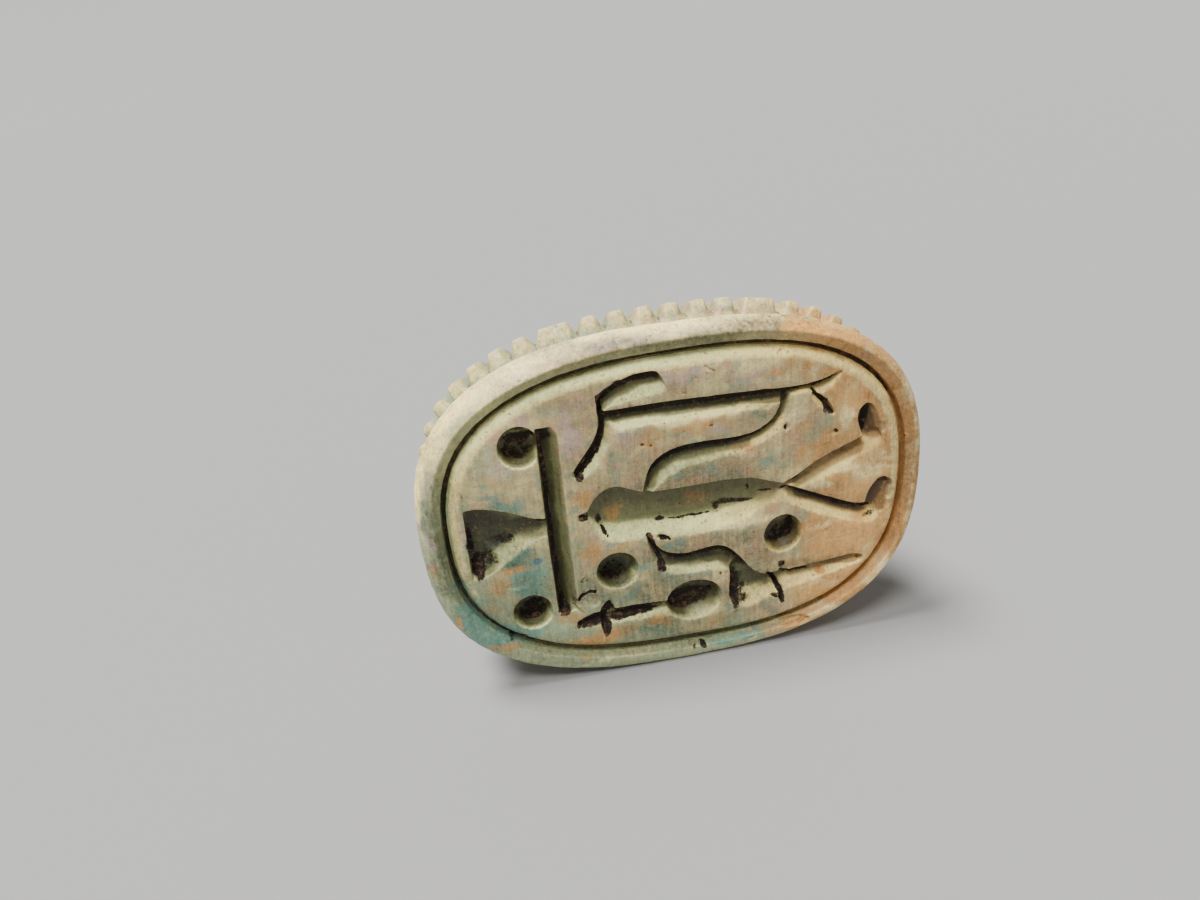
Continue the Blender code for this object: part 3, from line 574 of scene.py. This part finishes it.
        (4.1, -2.6, 5.0, 0.7, 0.9), (19.2, 0.6, 2.2, 1.4, 0.6), (14.2, -12.2, 3.6, 0.9, 0.5),
        (1.0, 9.1, 8.0, 0.6, 0.95), (-3.0, 12.2, 2.4, 0.5, 0.5),
    ],
    "teal": [
        (14.4, 6.6, 1.8, 1.8, 0.6), (12.4, -3.0, 1.8, 1.4, 0.6), (4.4, -7.0, 1.6, 1.0, 0.6),
        (-17.0, -2.9, 2.2, 0.9, 0.8), (-0.6, 3.8, 1.8, 1.2, 0.6), (1.6, 4.4, 3.2, 1.0, 0.56),
        (0.4, -7.2, 3.0, 1.4, 0.85), (11.4, -6.4, 2.8, 1.4, 0.5), (-20.0, -12.0, 3.0, 2.0, 0.9),
        (5.0, -17.6, 4.0, 0.9, 0.8), (13.2, 5.0, 1.2, 1.6, 0.6), (-16.4, 2.9, 2.4, 1.4, 0.8),
        (-16.6, -11.6, 3.0, 2.0, 0.9), (-16.4, -1.8, 2.6, 1.2, 0.8), (-20.6, -8.9, 2.6, 3.2, 1.0),
        (-18.2, -11.9, 2.6, 1.6, 1.0), (-15.2, -5.4, 2.4, 3.0, 0.85), (-4.5, -5.9, 1.4, 1.6, 0.62),
        (-5.6, -9.2, 2.0, 1.2, 0.66), (-17.6, 4.2, 1.4, 1.6, 0.58), (1.2, 3.1, 2.4, 0.7, 0.5),
        (6.6, 11.4, 1.6, 0.4, 0.6), (8.0, 8.4, 1.2, 0.8, 0.62), (9.2, 3.6, 1.8, 1.6, 0.58),
        (-1.2, -4.4, 1.6, 0.8, 0.62), (-3.2, -14.3, 2.0, 0.8, 0.6), (-13.2, -12.9, 1.6, 1.0, 0.55),
        (-8.0, -8.9, 1.2, 0.8, 0.5), (-21.6, -5.3, 0.8, 1.4, 0.8), (5.2, -4.2, 1.2, 0.9, 0.5),
        (-13.4, 2.6, 1.4, 1.6, 0.55), (-11.6, 12.2, 1.6, 1.0, 0.5), (-21.0, 3.0, 0.7, 2.4, 0.5),
    ],
    "ochre": [
        (18.4, -4.6, 1.6, 0.9, 0.85), (-8.4, -14.2, 3.8, 1.3, 0.85), (11.6, -12.6, 2.0, 0.8, 0.6),
        (15.6, -16.9, 2.4, 0.9, 0.7), (11.9, -16.5, 1.9, 1.0, 1.0), (18.8, 3.4, 1.6, 2.8, 0.6),
        (18.0, -4.0, 2.0, 2.0, 0.55), (14.8, -13.2, 3.4, 1.4, 0.75), (-18.2, -5.6, 1.5, 1.5, 0.7),
        (-11.4, -11.4, 1.5, 0.9, 0.7), (-6.0, -14.0, 2.2, 0.9, 0.6), (17.0, 14.9, 1.6, 0.9, 0.7),
        (20.6, -8.5, 1.2, 2.4, 0.55), (-9.5, 2.7, 1.1, 1.5, 0.85), (-9.2, -3.2, 1.5, 1.9, 0.8),
        (-5.9, -3.3, 1.7, 0.5, 0.75), (-16.4, -4.1, 2.2, 0.9, 0.85), (-19.0, -8.0, 1.4, 1.4, 0.62),
        (-16.5, 5.8, 1.6, 0.9, 0.55), (-2.6, 7.4, 1.5, 1.5, 0.66), (1.6, 8.2, 3.2, 0.8, 0.72),
        (5.0, 8.0, 1.2, 0.9, 0.6), (10.4, 12.8, 3.4, 1.1, 0.66), (0.6, 13.4, 1.6, 1.2, 0.45),
        (-6.2, 0.1, 1.1, 1.3, 0.8), (1.7, 0.5, 1.3, 0.7, 0.9), (6.7, 5.4, 1.9, 0.5, 0.75),
        (3.2, -14.2, 1.6, 1.1, 0.6), (-6.6, -13.7, 2.6, 0.8, 0.8), (-2.2, -13.3, 1.8, 0.6, 0.8),
        (-12.2, -11.0, 1.2, 0.8, 0.7), (14.4, -8.2, 1.6, 1.2, 0.6), (10.2, 3.6, 1.2, 0.7, 0.6),
        (-23.4, -3.3, 0.7, 1.3, 0.7), (-22.5, -9.2, 0.5, 1.5, 0.75), (-18.4, -13.3, 1.8, 0.6, 0.85),
        (-9.8, -15.9, 1.2, 0.5, 0.7), (11.9, 16.5, 2.6, 0.7, 1.0), (15.6, 15.4, 4.0, 1.6, 0.8),
        (17.2, 14.6, 2.2, 1.8, 0.85), (-6.3, 9.2, 0.7, 0.6, 0.6), (-6.4, 11.5, 0.5, 0.5, 0.7),
        (22.5, -6.8, 1.0, 1.2, 0.9), (13.1, -15.9, 2.2, 0.8, 0.7), (4.1, -16.7, 1.6, 0.5, 0.5),
        (20.1, -11.5, 1.2, 1.4, 0.7), (-6.1, -16.6, 1.8, 0.4, 0.5), (20.0, 12.3, 1.2, 1.6, 0.6),
        (0.0, -0.1, 1.8, 0.5, 0.5),
    ],
    "rust": [
        (14.4, -10.6, 0.7, 0.5, 1.0), (18.2, 8.9, 0.42, 0.4, 1.0), (-18.2, -6.4, 0.6, 0.4, 0.7),
        (6.9, 5.5, 0.7, 0.25, 0.62), (11.6, 16.2, 0.9, 0.22, 0.8), (-12.6, -11.3, 0.9, 0.35, 0.6),
        (13.5, 15.8, 0.9, 0.2, 0.6), (-5.8, 0.3, 0.6, 0.6, 0.5), (1.3, 0.6, 0.8, 0.4, 0.6),
        (20.0, -4.8, 0.5, 0.3, 0.6), (9.5, 17.3, 0.5, 0.16, 0.6),
    ],
    "lilac": [
        (-7.0, 17.6, 6.0, 1.1, 0.95), (-16.0, 15.6, 3.0, 1.2, 0.6), (-15.8, 8.4, 2.4, 3.2, 0.5),
        (-9.9, 9.6, 1.1, 3.4, 0.8), (0.4, 13.6, 3.0, 0.9, 0.7), (7.0, 13.2, 2.0, 0.8, 0.6),
        (-23.7, 0.9, 0.5, 1.8, 0.9), (-22.9, 6.8, 0.7, 2.0, 0.6), (-20.8, 1.4, 0.35, 2.2, 0.9),
        (-20.0, 7.9, 0.5, 1.2, 0.6), (-13.4, 12.0, 1.6, 0.8, 0.6), (-8.6, 12.2, 1.4, 1.2, 0.5),
        (-5.2, 7.4, 1.2, 1.6, 0.6), (3.6, 7.6, 1.6, 0.5, 0.6), (-23.5, -2.7, 0.5, 1.0, 0.8),
        (-8.8, -1.4, 0.7, 0.9, 0.6), (6.0, 12.8, 2.2, 1.0, 0.5), (-17.2, 7.2, 1.4, 1.0, 0.4),
    ],
    "crimson": [
        (-20.2, 4.8, 0.22, 0.6, 1.0), (-23.2, 1.2, 0.3, 0.7, 0.5), (-23.4, 2.5, 0.25, 0.3, 0.5),
        (2.2, 18.4, 1.0, 0.2, 1.0), (3.5, 18.2, 0.3, 0.3, 0.9),
    ],
    "crimsonFloor": [(-14.6, 7.3, 1.5, 0.8, 0.9)],
    "sky": [
        (-12.7, 17.3, 0.5, 0.45, 1.0), (-9.3, 17.7, 0.55, 0.45, 1.0), (-10.9, 17.9, 1.2, 0.25, 0.7),
        (-14.7, 16.2, 0.45, 0.4, 0.9), (6.8, 17.9, 1.4, 0.25, 0.9), (5.4, 18.3, 0.4, 0.4, 0.9),
        (9.5, 17.6, 0.4, 0.4, 0.7),
    ],
    "blue": [
        (-14.1, -3.4, 0.52, 0.5, 1.0), (7.5, -16.7, 0.5, 0.36, 1.0), (2.4, -16.7, 0.4, 0.25, 0.8),
        (-21.9, -5.6, 0.25, 0.6, 0.6), (1.2, -0.6, 0.4, 0.2, 0.5), (7.2, -16.5, 0.3, 0.2, 0.8),
        (5.3, -4.0, 0.4, 0.4, 0.4),
    ],
}

paintForm = {
    "wander": ((0.75, 2.3, 40), (0.35, 0.9, 50), (0.16, 0.4, 60)),    # bumps: height, size and seed
    "nearShare": 0.2,       # how much of that moves the marks with a clear outline
    "faceGlaze": 0.38,      # the green glaze 2 mm to the left of the middle of the figure
    "towardsTail": 0.015,   # how much of it has gone with each mm towards the tail
    "towardsTop": 0.017,
    "inCuts": 0.40,         # how much more is left in the cuts
    "backTeal": 0.34,
}


def paintStone(mesh):
    form = paintForm
    spots = pointsOf(mesh)
    x, z, depth = faceLayout(spots)
    beyond = beyondField(x, z)
    beyondCrest = beyond - crestPlace(z)
    front = 1 - ease(depth, 2.2, 3.2)
    inField = (1 - ease(ringOf(x, z), 0.985, 1.01)) * front
    wander = [layeredBumps(spots, form["wander"], seedShift) for seedShift in (0, 5)]
    softPlace = x + wander[0], z + wander[1]
    nearPlace = x + wander[0] * form["nearShare"], z + wander[1] * form["nearShare"]

    def soft(name):
        return nearPatches(*softPlace, marks[name])

    def near(name):
        return nearPatches(*nearPlace, marks[name])

    def strokes(name):
        return nearPaths(*nearPlace, marks[name])

    # the green glaze has gone from the tail end, and lies thickest at the lower left
    glaze = form["faceGlaze"] - form["towardsTail"] * (x + 2) - form["towardsTop"] * z
    glaze = glaze + form["inCuts"] * (inField * ease(depth, 0.2, 0.8))
    layers = {
        "glaze": np.clip(np.where(depth > 3, 0.5 - 0.012 * x, glaze), 0, 1),
        "teal": np.maximum(soft("teal") * front, (1 - front) * form["backTeal"]),
        "rust": near("rust") * front,
        "blue": near("blue") * front,
        "open": strokes("open") * front,
        "deep": strokes("deep") * ease(depth, 0.3, 0.6) * inField,
        "dull": np.clip(strokes("dull"), 0, 1) * ease(depth, 0.04, 0.25) * inField,
    }
    for name in ("ochre", "pale", "lilac"):
        layers[name] = soft(name) * front
    # stains also lie on the upper teeth
    teeth = np.maximum(front, ease(z, 12, 15) * (1 - ease(depth, 8, 9)))
    hollow = near("crimsonFloor") * ease(depth, 0.7, 1.2) * front
    layers["crimson"] = np.maximum(near("crimson") * teeth, hollow)
    layers["sky"] = near("sky") * teeth
    # dirt and painted shadow lie in the cuts, and dirt packs the groove round the field, apart from its open
    # stretch at the tail
    soilAndShadow = np.maximum(near("soilAndShadow"), strokes("soilAndShadowStrokes"))
    layers["soilAndShadow"] = np.maximum(soilAndShadow, near("soilFloors") * ease(depth, 0.9, 1.5)) * front
    openEnd = ease(x, 13, 19) * (1 - ease(z, 6, 11))
    inGroove = ease(depth, 1.02, 1.26) * ease(beyond, -0.5, -0.1) * (1 - ease(beyond, 0.3, 0.5))
    layers["groove"] = inGroove * (1 - 0.9 * openEnd) * front
    # the slope from the groove up to the rim keeps its old glaze, and the upper edge of the field is painted
    # paler, from wear and as painted light
    layers["bevel"] = ease(beyond, -0.1, 0.15) * (1 - ease(beyondCrest, -0.25, 0.1)) * front
    layers["edge"] = ease(beyond, -1.7, -0.9) * (1 - ease(beyond, -0.5, -0.1)) * ease(z, -14, 2) * front
    # broad areas painted paler and darker: wear and patina, and painted light and shade
    layers["wearAndLight"] = np.clip(soft("wearAndLight") - soft("dim"), -1, 1) * front
    # the top of the rim is the palest: handling wears it most, and where it faces up it is painted light
    handledAndLit = ease(beyondCrest, 0.1, 1.3) * ease(z - 0.25 * x, 0, 13) * (1 - ease(depth, 9, 10))
    handledAndLit *= 1 - 0.3 * ease(depth, 2.4, 3.6)
    layers["crest"] = handledAndLit * ease(normalsOf(mesh)[:, 2], -0.2, 0.3)
    # how far a point is towards the tail or the back
    layers["tail"] = ease(x, 5, 18)
    layers["warm"] = ease(x, -2, 12)
    layers["back"] = ease(depth, 3.0, 4.0)
    for name, values in layers.items():
        setLayer(mesh, name, values)
    print("stone painted:", len(layers), "layers")


class Wire:
    # a socket that takes part in arithmetic: each operator adds its own Math node
    def __init__(self, board, socket):
        self.board, self.socket = board, socket

    def maths(self, operation, *values, clamp=False):
        sockets = dict(enumerate(values))
        return self.board.add("ShaderNodeMath", {"operation": operation, "use_clamp": clamp}, sockets)

    def __add__(self, other):
        return self.maths("ADD", self, other)

    def __radd__(self, other):
        return self.maths("ADD", other, self)

    def __sub__(self, other):
        return self.maths("SUBTRACT", self, other)

    def __rsub__(self, other):
        return self.maths("SUBTRACT", other, self)

    def __mul__(self, other):
        return self.maths("MULTIPLY", self, other)

    def __rmul__(self, other):
        return self.maths("MULTIPLY", other, self)

    def clamped(self):
        return self.maths("ADD", self, 0.0, clamp=True)

    def highest(self, other):
        return self.maths("MAXIMUM", self, other)

    def between(self, low, high):
        # 0 below low, 1 above high and a smooth step between
        return self.board.add(
            "ShaderNodeMapRange",
            {"interpolation_type": "SMOOTHSTEP"},
            {"Value": self, "From Min": low, "From Max": high},
        )


class Board:
    # one material's nodes
    def __init__(self, name):
        self.material = bpy.data.materials.new(name)
        self.material.use_nodes = True
        self.tree = self.material.node_tree
        self.shader = self.tree.nodes["Principled BSDF"]
        self.place = self.add("ShaderNodeVectorMath", {"operation": "SCALE"}, {
            0: self.add("ShaderNodeTexCoord", out="Object"), "Scale": 1 / mm,
        })

    def add(self, kind, settings=None, sockets=None, out=0):
        node = self.tree.nodes.new(kind)
        for name, value in (settings or {}).items():
            setattr(node, name, value)
        for name, value in (sockets or {}).items():
            self.feed(node.inputs[name], value)
        return Wire(self, node.outputs[out])

    def feed(self, socket, value):
        if isinstance(value, Wire):
            self.tree.links.new(value.socket, socket)
        else:
            socket.default_value = value

    def blend(self, low, high, share):
        return self.add("ShaderNodeMix", {"data_type": "RGBA"}, {0: share, 6: low, 7: high}, out=2)

    def shade(self, colour, factor):
        return self.add("ShaderNodeVectorMath", {"operation": "SCALE"}, {0: colour, "Scale": factor})

    def layer(self, name):
        return self.add("ShaderNodeAttribute", {"attribute_name": name}, out="Fac")

    def noise(self, size, detail, rough, shift, stretch=(1, 1, 1), warp=0.0):
        # one bump about every size mm, and a shift that sets each pattern apart
        place = self.add("ShaderNodeMapping", None, {
            "Vector": self.place, "Location": (shift, shift * 0.7, shift * 1.3), "Scale": stretch,
        })
        return self.add("ShaderNodeTexNoise", None, {
            "Vector": place, "Scale": 1 / size, "Detail": detail, "Roughness": rough, "Distortion": warp,
        })


stoneLook = {
    "cream": (0.72, 0.60, 0.27, 1), "bone": (0.45, 0.35, 0.165, 1), "tan": (0.60, 0.32, 0.095, 1),
    "brown": (0.28, 0.14, 0.045, 1), "pink": (0.58, 0.36, 0.19, 1), "grey": (0.30, 0.34, 0.215, 1),
    "sage": (0.33, 0.40, 0.22, 1), "moss": (0.30, 0.38, 0.14, 1), "teal": (0.135, 0.31, 0.23, 1),
    "ochre": (0.60, 0.30, 0.075, 1), "blue": (0.05, 0.19, 0.27, 1), "rust": (0.50, 0.13, 0.015, 1),
    # olive and umber on the next line are the dark colours of patina and painted shade in the cuts
    "crimson": (0.14, 0.02, 0.02, 1), "olive": (0.115, 0.11, 0.04, 1), "umber": (0.19, 0.105, 0.035, 1),
    # the first two colours on the next line are pale yellows painted as light on slopes that face up
    "slopeLight": (0.78, 0.80, 0.34, 1), "slopeLightTail": (0.93, 0.72, 0.24, 1), "scar": (0.62, 0.45, 0.26, 1),
    "crest": (0.88, 0.70, 0.28, 1), "pale": (0.86, 0.72, 0.34, 1), "sky": (0.30, 0.47, 0.48, 1),
    "bevel": (0.23, 0.26, 0.12, 1), "bevelTail": (0.42, 0.20, 0.065, 1), "lilac": (0.50, 0.36, 0.31, 1),
    # the first colour on the next line is near-black dirt, also used as near-black painted shadow
    "soilAndShadow": (0.016, 0.009, 0.006, 1), "crumb": (0.13, 0.07, 0.036, 1),
    # the painted patches in the order they are laid: where each begins and is full, and how much it covers
    "patches": (
        ("pale", 0.26, 0.80, 0.75), ("teal", 0.32, 0.92, 0.9), ("lilac", 0.30, 0.80, 0.7),
        ("sky", 0.3, 0.7, 0.85), ("blue", 0.40, 0.8, 0.85), ("crimson", 0.40, 0.8, 0.85),
    ),
    "noises": {
        "clouds": {"size": 5.0, "detail": 4, "rough": 0.6, "shift": 3.0, "warp": 0.6},
        "drifts": {"size": 2.4, "detail": 4, "rough": 0.6, "shift": 47.0, "warp": 0.4},
        "greyness": {"size": 1.9, "detail": 4, "rough": 0.6, "shift": 83.0, "warp": 0.5},
        "mottle": {"size": 1.1, "detail": 5, "rough": 0.65, "shift": 11.0},
        "lumps": {"size": 0.7, "detail": 4, "rough": 0.6, "shift": 97.0},
        "tears": {"size": 0.5, "detail": 6, "rough": 0.75, "shift": 91.0},
        "spots": {"size": 0.45, "detail": 4, "rough": 0.6, "shift": 23.0},
        "specks": {"size": 0.34, "detail": 2, "rough": 0.5, "shift": 61.0},
        "streaks": {"size": 0.3, "detail": 3, "rough": 0.6, "shift": 101.0, "stretch": (1.0, 1.0, 0.09)},
        "flecks": {"size": 0.26, "detail": 2, "rough": 0.5, "shift": 67.0},
        "grain": {"size": 0.16, "detail": 3, "rough": 0.6, "shift": 31.0},
        "across": {"size": 0.14, "detail": 2, "rough": 0.5, "shift": 79.0, "stretch": (0.08, 1.0, 1.0)},
        "scratches": {"size": 0.12, "detail": 2, "rough": 0.5, "shift": 71.0, "stretch": (1.0, 1.0, 0.06)},
    },
    "specular": 0.42,
    "bumpHeight": 0.00005,    # m
}


def stoneGround(board, noise, ragged):
    # bare stone and glaze, and the patches painted on them
    look, tail, clouds = stoneLook, board.layer("tail"), noise["clouds"]
    colour = board.blend(look["cream"], look["bone"], (clouds + ragged * 0.5).between(0.38, 0.58))
    colour = board.blend(colour, look["pink"], (noise["drifts"] + ragged * 0.5).between(0.49, 0.60) * 0.8)
    greyness = (noise["greyness"] + ragged * 0.45).between(0.52, 0.63)
    colour = board.blend(colour, look["grey"], greyness * (0.8 - tail * 0.5))
    tanness = (tail * 0.55 + ragged * 0.7 + clouds - 0.5).between(0.16, 0.5)
    colour = board.blend(colour, look["tan"], tanness * 0.92)
    glaze = (board.layer("glaze") + ragged * 0.6 + (clouds - 0.5) * 0.9).between(0.42, 0.70)
    colour = board.blend(colour, board.blend(look["sage"], look["moss"], board.layer("cut")), glaze * 0.85)
    for name, low, high, share in look["patches"]:
        patch = (board.layer(name) + ragged * 0.8).between(low, high)
        colour = board.blend(colour, look[name], patch * share)
    return colour


def stoneHandlingAndLight(board, noise, ragged, colour, ridge):
    # the top of the rim and the upper edge of the field are painted paler, from handling and as painted
    # light, ridges are paler from handling, and chips show the bare stone
    look, spots, tail = stoneLook, noise["spots"], board.layer("tail")
    handledAndLit = (board.layer("crest") + ragged * 0.5).between(0.2, 0.9)
    colour = board.blend(colour, look["crest"], handledAndLit * (0.9 - 0.25 * tail))
    colour = board.blend(colour, look["crest"], (board.layer("edge") + ragged * 0.9).between(0.3, 0.9) * 0.75)
    colour = board.blend(colour, look["cream"], ridge * 0.5)
    scar = (board.layer("taken") + (spots - 0.5) * 0.5).between(0.45, 0.75)
    colour = board.blend(colour, look["scar"], scar * 0.6)
    # slopes that face up are painted pale yellow: painted light
    slopeLight = board.blend(look["slopeLight"], look["slopeLightTail"], board.layer("warm"))
    return board.blend(colour, slopeLight, (board.layer("litSlope") + ragged * 0.6).between(0.15, 0.7) * 0.88)


def stonePatinaAndShade(board, noise, ragged, colour):
    # stains, old glaze on the rim's inner slope, and dark olive in the lee of each edge: patina and painted
    # shadow
    look, tail, leeShadowAndGrime, bend = stoneLook, board.layer("tail"), board.layer("leeShadowAndGrime"), board.layer("bend")
    cut = board.layer("cut")
    stained = (board.layer("ochre") + ragged * 0.9).between(0.32, 0.95)
    colour = board.blend(colour, look["ochre"], stained * 0.85)
    bevel = (board.layer("bevel") + ragged * 0.5).between(0.2, 0.8)
    oldGlaze = board.blend(look["bevel"], look["bevelTail"], tail)
    oldGlaze = board.blend(oldGlaze, look["teal"], board.layer("teal").between(0.5, 1.0) * 0.8)
    colour = board.blend(colour, oldGlaze, bevel * 0.7)
    olive = board.blend(look["olive"], look["umber"], tail)
    # the lee of each edge is painted dark olive: patina and painted shadow
    colour = board.blend(colour, olive, (leeShadowAndGrime + ragged * 0.25).between(0.10, 0.70) * 0.84)
    # dark olive strokes on the cut floors: patina and painted shade
    colour = board.blend(colour, olive, (board.layer("dull") + ragged * 0.35).between(0.15, 0.8) * 0.8)
    colour = board.blend(colour, look["ochre"], stained * cut * (0.9 - leeShadowAndGrime) * 0.6)
    # the darkest floors are darkened: stain and painted shade
    colour = board.shade(colour, 1.0 - board.layer("deep").between(0.2, 0.8) * 0.6)
    rusty = (board.layer("rust") + ragged * 0.8).between(0.35, 0.95)
    colour = board.blend(colour, look["rust"], rusty * 0.75)
    # concave bends are painted darker brown
    bendDarkening = (bend * 0.8 + ragged * 0.5).between(0.2, 0.9)
    colour = board.blend(colour, look["brown"], bendDarkening * (0.3 + 0.4 * tail))
    flecks = (noise["flecks"] + (noise["clouds"] - 0.5) * 0.3).between(0.63, 0.70)
    colour = board.blend(colour, look["crest"], flecks * (0.25 - 0.2 * cut))
    specks = (noise["specks"] + (noise["drifts"] - 0.5) * 0.3).between(0.64, 0.71)
    return board.blend(colour, look["brown"], specks * 0.7)


def stoneDirtAndShadow(board, noise):
    # where dirt lies and where the lee of an edge is painted near-black as shadow, and the colour of both
    grain, bend = noise["grain"], board.layer("bend")
    torn = (noise["tears"] - 0.5) * 2.0 + (grain - 0.5) * 0.5
    leeDirtAndShadow = board.layer("leeShadowAndGrime") - board.layer("open") * 0.6
    soilAndShadow = (board.layer("soilAndShadow") + torn * 0.6 + bend * 0.1).between(0.42, 0.64)
    # the deepest lee of each edge is painted near-black: shadow, with dirt
    soilAndShadow = soilAndShadow.highest((leeDirtAndShadow + torn * 0.36).between(0.68, 0.92) * 0.95)
    soilAndShadow = soilAndShadow.highest((board.layer("groove") + torn * 0.7).between(0.35, 0.75) * 0.88)
    soilAndShadow = soilAndShadow.highest((bend + torn * 0.3).between(0.15, 0.6) * board.layer("back") * 0.9)
    crumbs = (noise["lumps"] + (grain - 0.5) * 0.4 - leeDirtAndShadow * 0.08).between(0.49, 0.66)
    return soilAndShadow, board.blend(stoneLook["soilAndShadow"], stoneLook["crumb"], crumbs)


def stoneMaterial():
    board = Board("glazedSteatite")
    noise = {name: board.noise(**form) for name, form in stoneLook["noises"].items()}
    mottle, spots, grain = noise["mottle"], noise["spots"], noise["grain"]
    ragged = (mottle - 0.5) * 0.9 + (spots - 0.5) * 0.6
    ridge = (0.0 - board.layer("bend") + (spots - 0.5) * 0.8).between(0.2, 0.75)
    colour = stoneGround(board, noise, ragged)
    colour = stoneHandlingAndLight(board, noise, ragged, colour, ridge)
    colour = stonePatinaAndShade(board, noise, ragged, colour)
    soilAndShadow, dirt = stoneDirtAndShadow(board, noise)
    # near-black dirt and painted shadow laid over the colour
    colour = board.blend(colour, dirt, soilAndShadow)
    # fine light and dark grain over everything
    fine = (grain - 0.5) * 0.7 + (spots - 0.5) * 0.9 + (mottle - 0.5) * 0.4 + (noise["streaks"] - 0.5) * 0.7
    # the broad paler and darker areas are wear, patina, painted light and painted shade, and slopes that face
    # up are painted brighter as light
    tone = 0.79 + board.layer("wearAndLight") * 0.37 + board.layer("litSlope") * 0.2 + fine
    board.feed(board.shader.inputs["Base Color"], board.shade(colour, tone))

    roughness = 0.44 + 0.18 * mottle - 0.08 * ridge + soilAndShadow * 0.4
    board.feed(board.shader.inputs["Roughness"], roughness.clamped())
    board.shader.inputs["Specular IOR Level"].default_value = stoneLook["specular"]
    lift = mottle * 0.5 + spots * 0.5 + grain * 0.35 + noise["scratches"] * 0.25 + noise["across"] * 0.15
    lift = lift + soilAndShadow * (noise["lumps"] * 3.0 + spots + grain)
    bump = {"Strength": 1.0, "Distance": stoneLook["bumpHeight"], "Height": lift}
    board.feed(board.shader.inputs["Normal"], board.add("ShaderNodeBump", None, bump, out="Normal"))
    print("material made:", len(board.tree.nodes), "nodes")
    return board.material


scarab = stoneStart()
relaxStone(scarab.data)
shapeRim(scarab.data)
wearStone(scarab.data)
readRelief(scarab.data)
thinStone(scarab)
paintStone(scarab.data)
scarab.data.shade_smooth()
scarab.data.materials.append(stoneMaterial())
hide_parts("scarab_amulet")
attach(scarab, "root")


floorForm = {
    "colour": (0.27, 0.266, 0.26, 1),
    "roughness": 0.85,
    "flat": 0.7,        # radius of the level middle, m
    "reach": 4.0,       # where the sweep ends
    "rise": 2.8,        # how high it climbs there
    "rings": 24,
    "spokes": 96,
}


def buildFloor():
    form = bmesh.new()
    bmesh.ops.create_circle(form, cap_ends=True, segments=floorForm["spokes"], radius=floorForm["flat"])
    step = (floorForm["reach"] - floorForm["flat"]) / floorForm["rings"]
    edges = [edge for edge in form.edges if edge.is_boundary]
    for ring in range(1, floorForm["rings"] + 1):
        grown = bmesh.ops.extrude_edge_only(form, edges=edges)["geom"]
        radius = floorForm["flat"] + step * ring
        height = floorForm["rise"] * (ring / floorForm["rings"]) ** 2
        for vert in (item for item in grown if isinstance(item, bmesh.types.BMVert)):
            flat = vert.co.to_2d().normalized() * radius
            vert.co = (flat.x, flat.y, height)
        edges = [item for item in grown if isinstance(item, bmesh.types.BMEdge)]
    mesh = bpy.data.meshes.new("floor")
    bmesh.ops.recalc_face_normals(form, faces=form.faces)
    form.to_mesh(mesh)
    form.free()
    mesh.shade_smooth()
    floor = bpy.data.objects.new("floor", mesh)
    bpy.context.scene.collection.objects.link(floor)
    paint = bpy.data.materials.new("floorPaint")
    paint.use_nodes = True
    shader = paint.node_tree.nodes["Principled BSDF"]
    shader.inputs["Base Color"].default_value = floorForm["colour"]
    shader.inputs["Roughness"].default_value = floorForm["roughness"]
    mesh.materials.append(paint)


studio = {
    "key": {"from": (-0.26, -0.36, 0.90), "strength": 2.6, "spread": 18},
    "overhead": {"from": (-0.34, 0.06, 1.0), "strength": 6.2, "spread": 20},
    "back": {"from": (0.4, 0.9, 0.9), "strength": 0.3, "spread": 50},
    "sky": (0.88, 0.90, 0.93, 1),
    "skyStrength": 0.10,
}


def buildLamps():
    for name in ("key", "overhead", "back"):
        light = bpy.data.lights.new(name, "SUN")
        light.energy = studio[name]["strength"]
        light.angle = math.radians(studio[name]["spread"])
        holder = bpy.data.objects.new(name, light)
        away = Vector(studio[name]["from"])
        turn = away.to_track_quat("Z", "Y").to_matrix().to_4x4()
        holder.matrix_world = Matrix.Translation(away * 0.5) @ turn
        bpy.context.scene.collection.objects.link(holder)
    world = bpy.data.worlds.new("studio")
    world.use_nodes = True
    sky = world.node_tree.nodes["Background"]
    sky.inputs["Color"].default_value = studio["sky"]
    sky.inputs["Strength"].default_value = studio["skyStrength"]
    bpy.context.scene.world = world


cameraForm = {
    "at": (-16.02, -79.61, 65.13),    # mm
    "azimuth": -7.2,
    "elevation": 28.5,
    "roll": -5.4,
    "lens": 27.0,
}


def buildCamera():
    azimuth, elevation, roll = (math.radians(cameraForm[name]) for name in ("azimuth", "elevation", "roll"))
    level = math.cos(elevation)
    back = Vector((math.sin(azimuth) * level, -math.cos(azimuth) * level, math.sin(elevation)))
    across = Vector((math.cos(azimuth), math.sin(azimuth), 0))
    up = back.cross(across)
    right = across * math.cos(roll) + up * math.sin(roll)
    top = up * math.cos(roll) - across * math.sin(roll)
    lens = bpy.data.cameras.new("camera")
    lens.lens = cameraForm["lens"]
    lens.sensor_width = 36
    lens.clip_start = 0.005
    camera = bpy.data.objects.new("camera", lens)
    turn = Matrix((right, top, back)).transposed()
    camera.matrix_world = Matrix.Translation(Vector(cameraForm["at"]) * mm) @ turn.to_4x4()
    bpy.context.scene.collection.objects.link(camera)
    bpy.context.scene.camera = camera


buildFloor()
buildLamps()
buildCamera()
print("stage built")
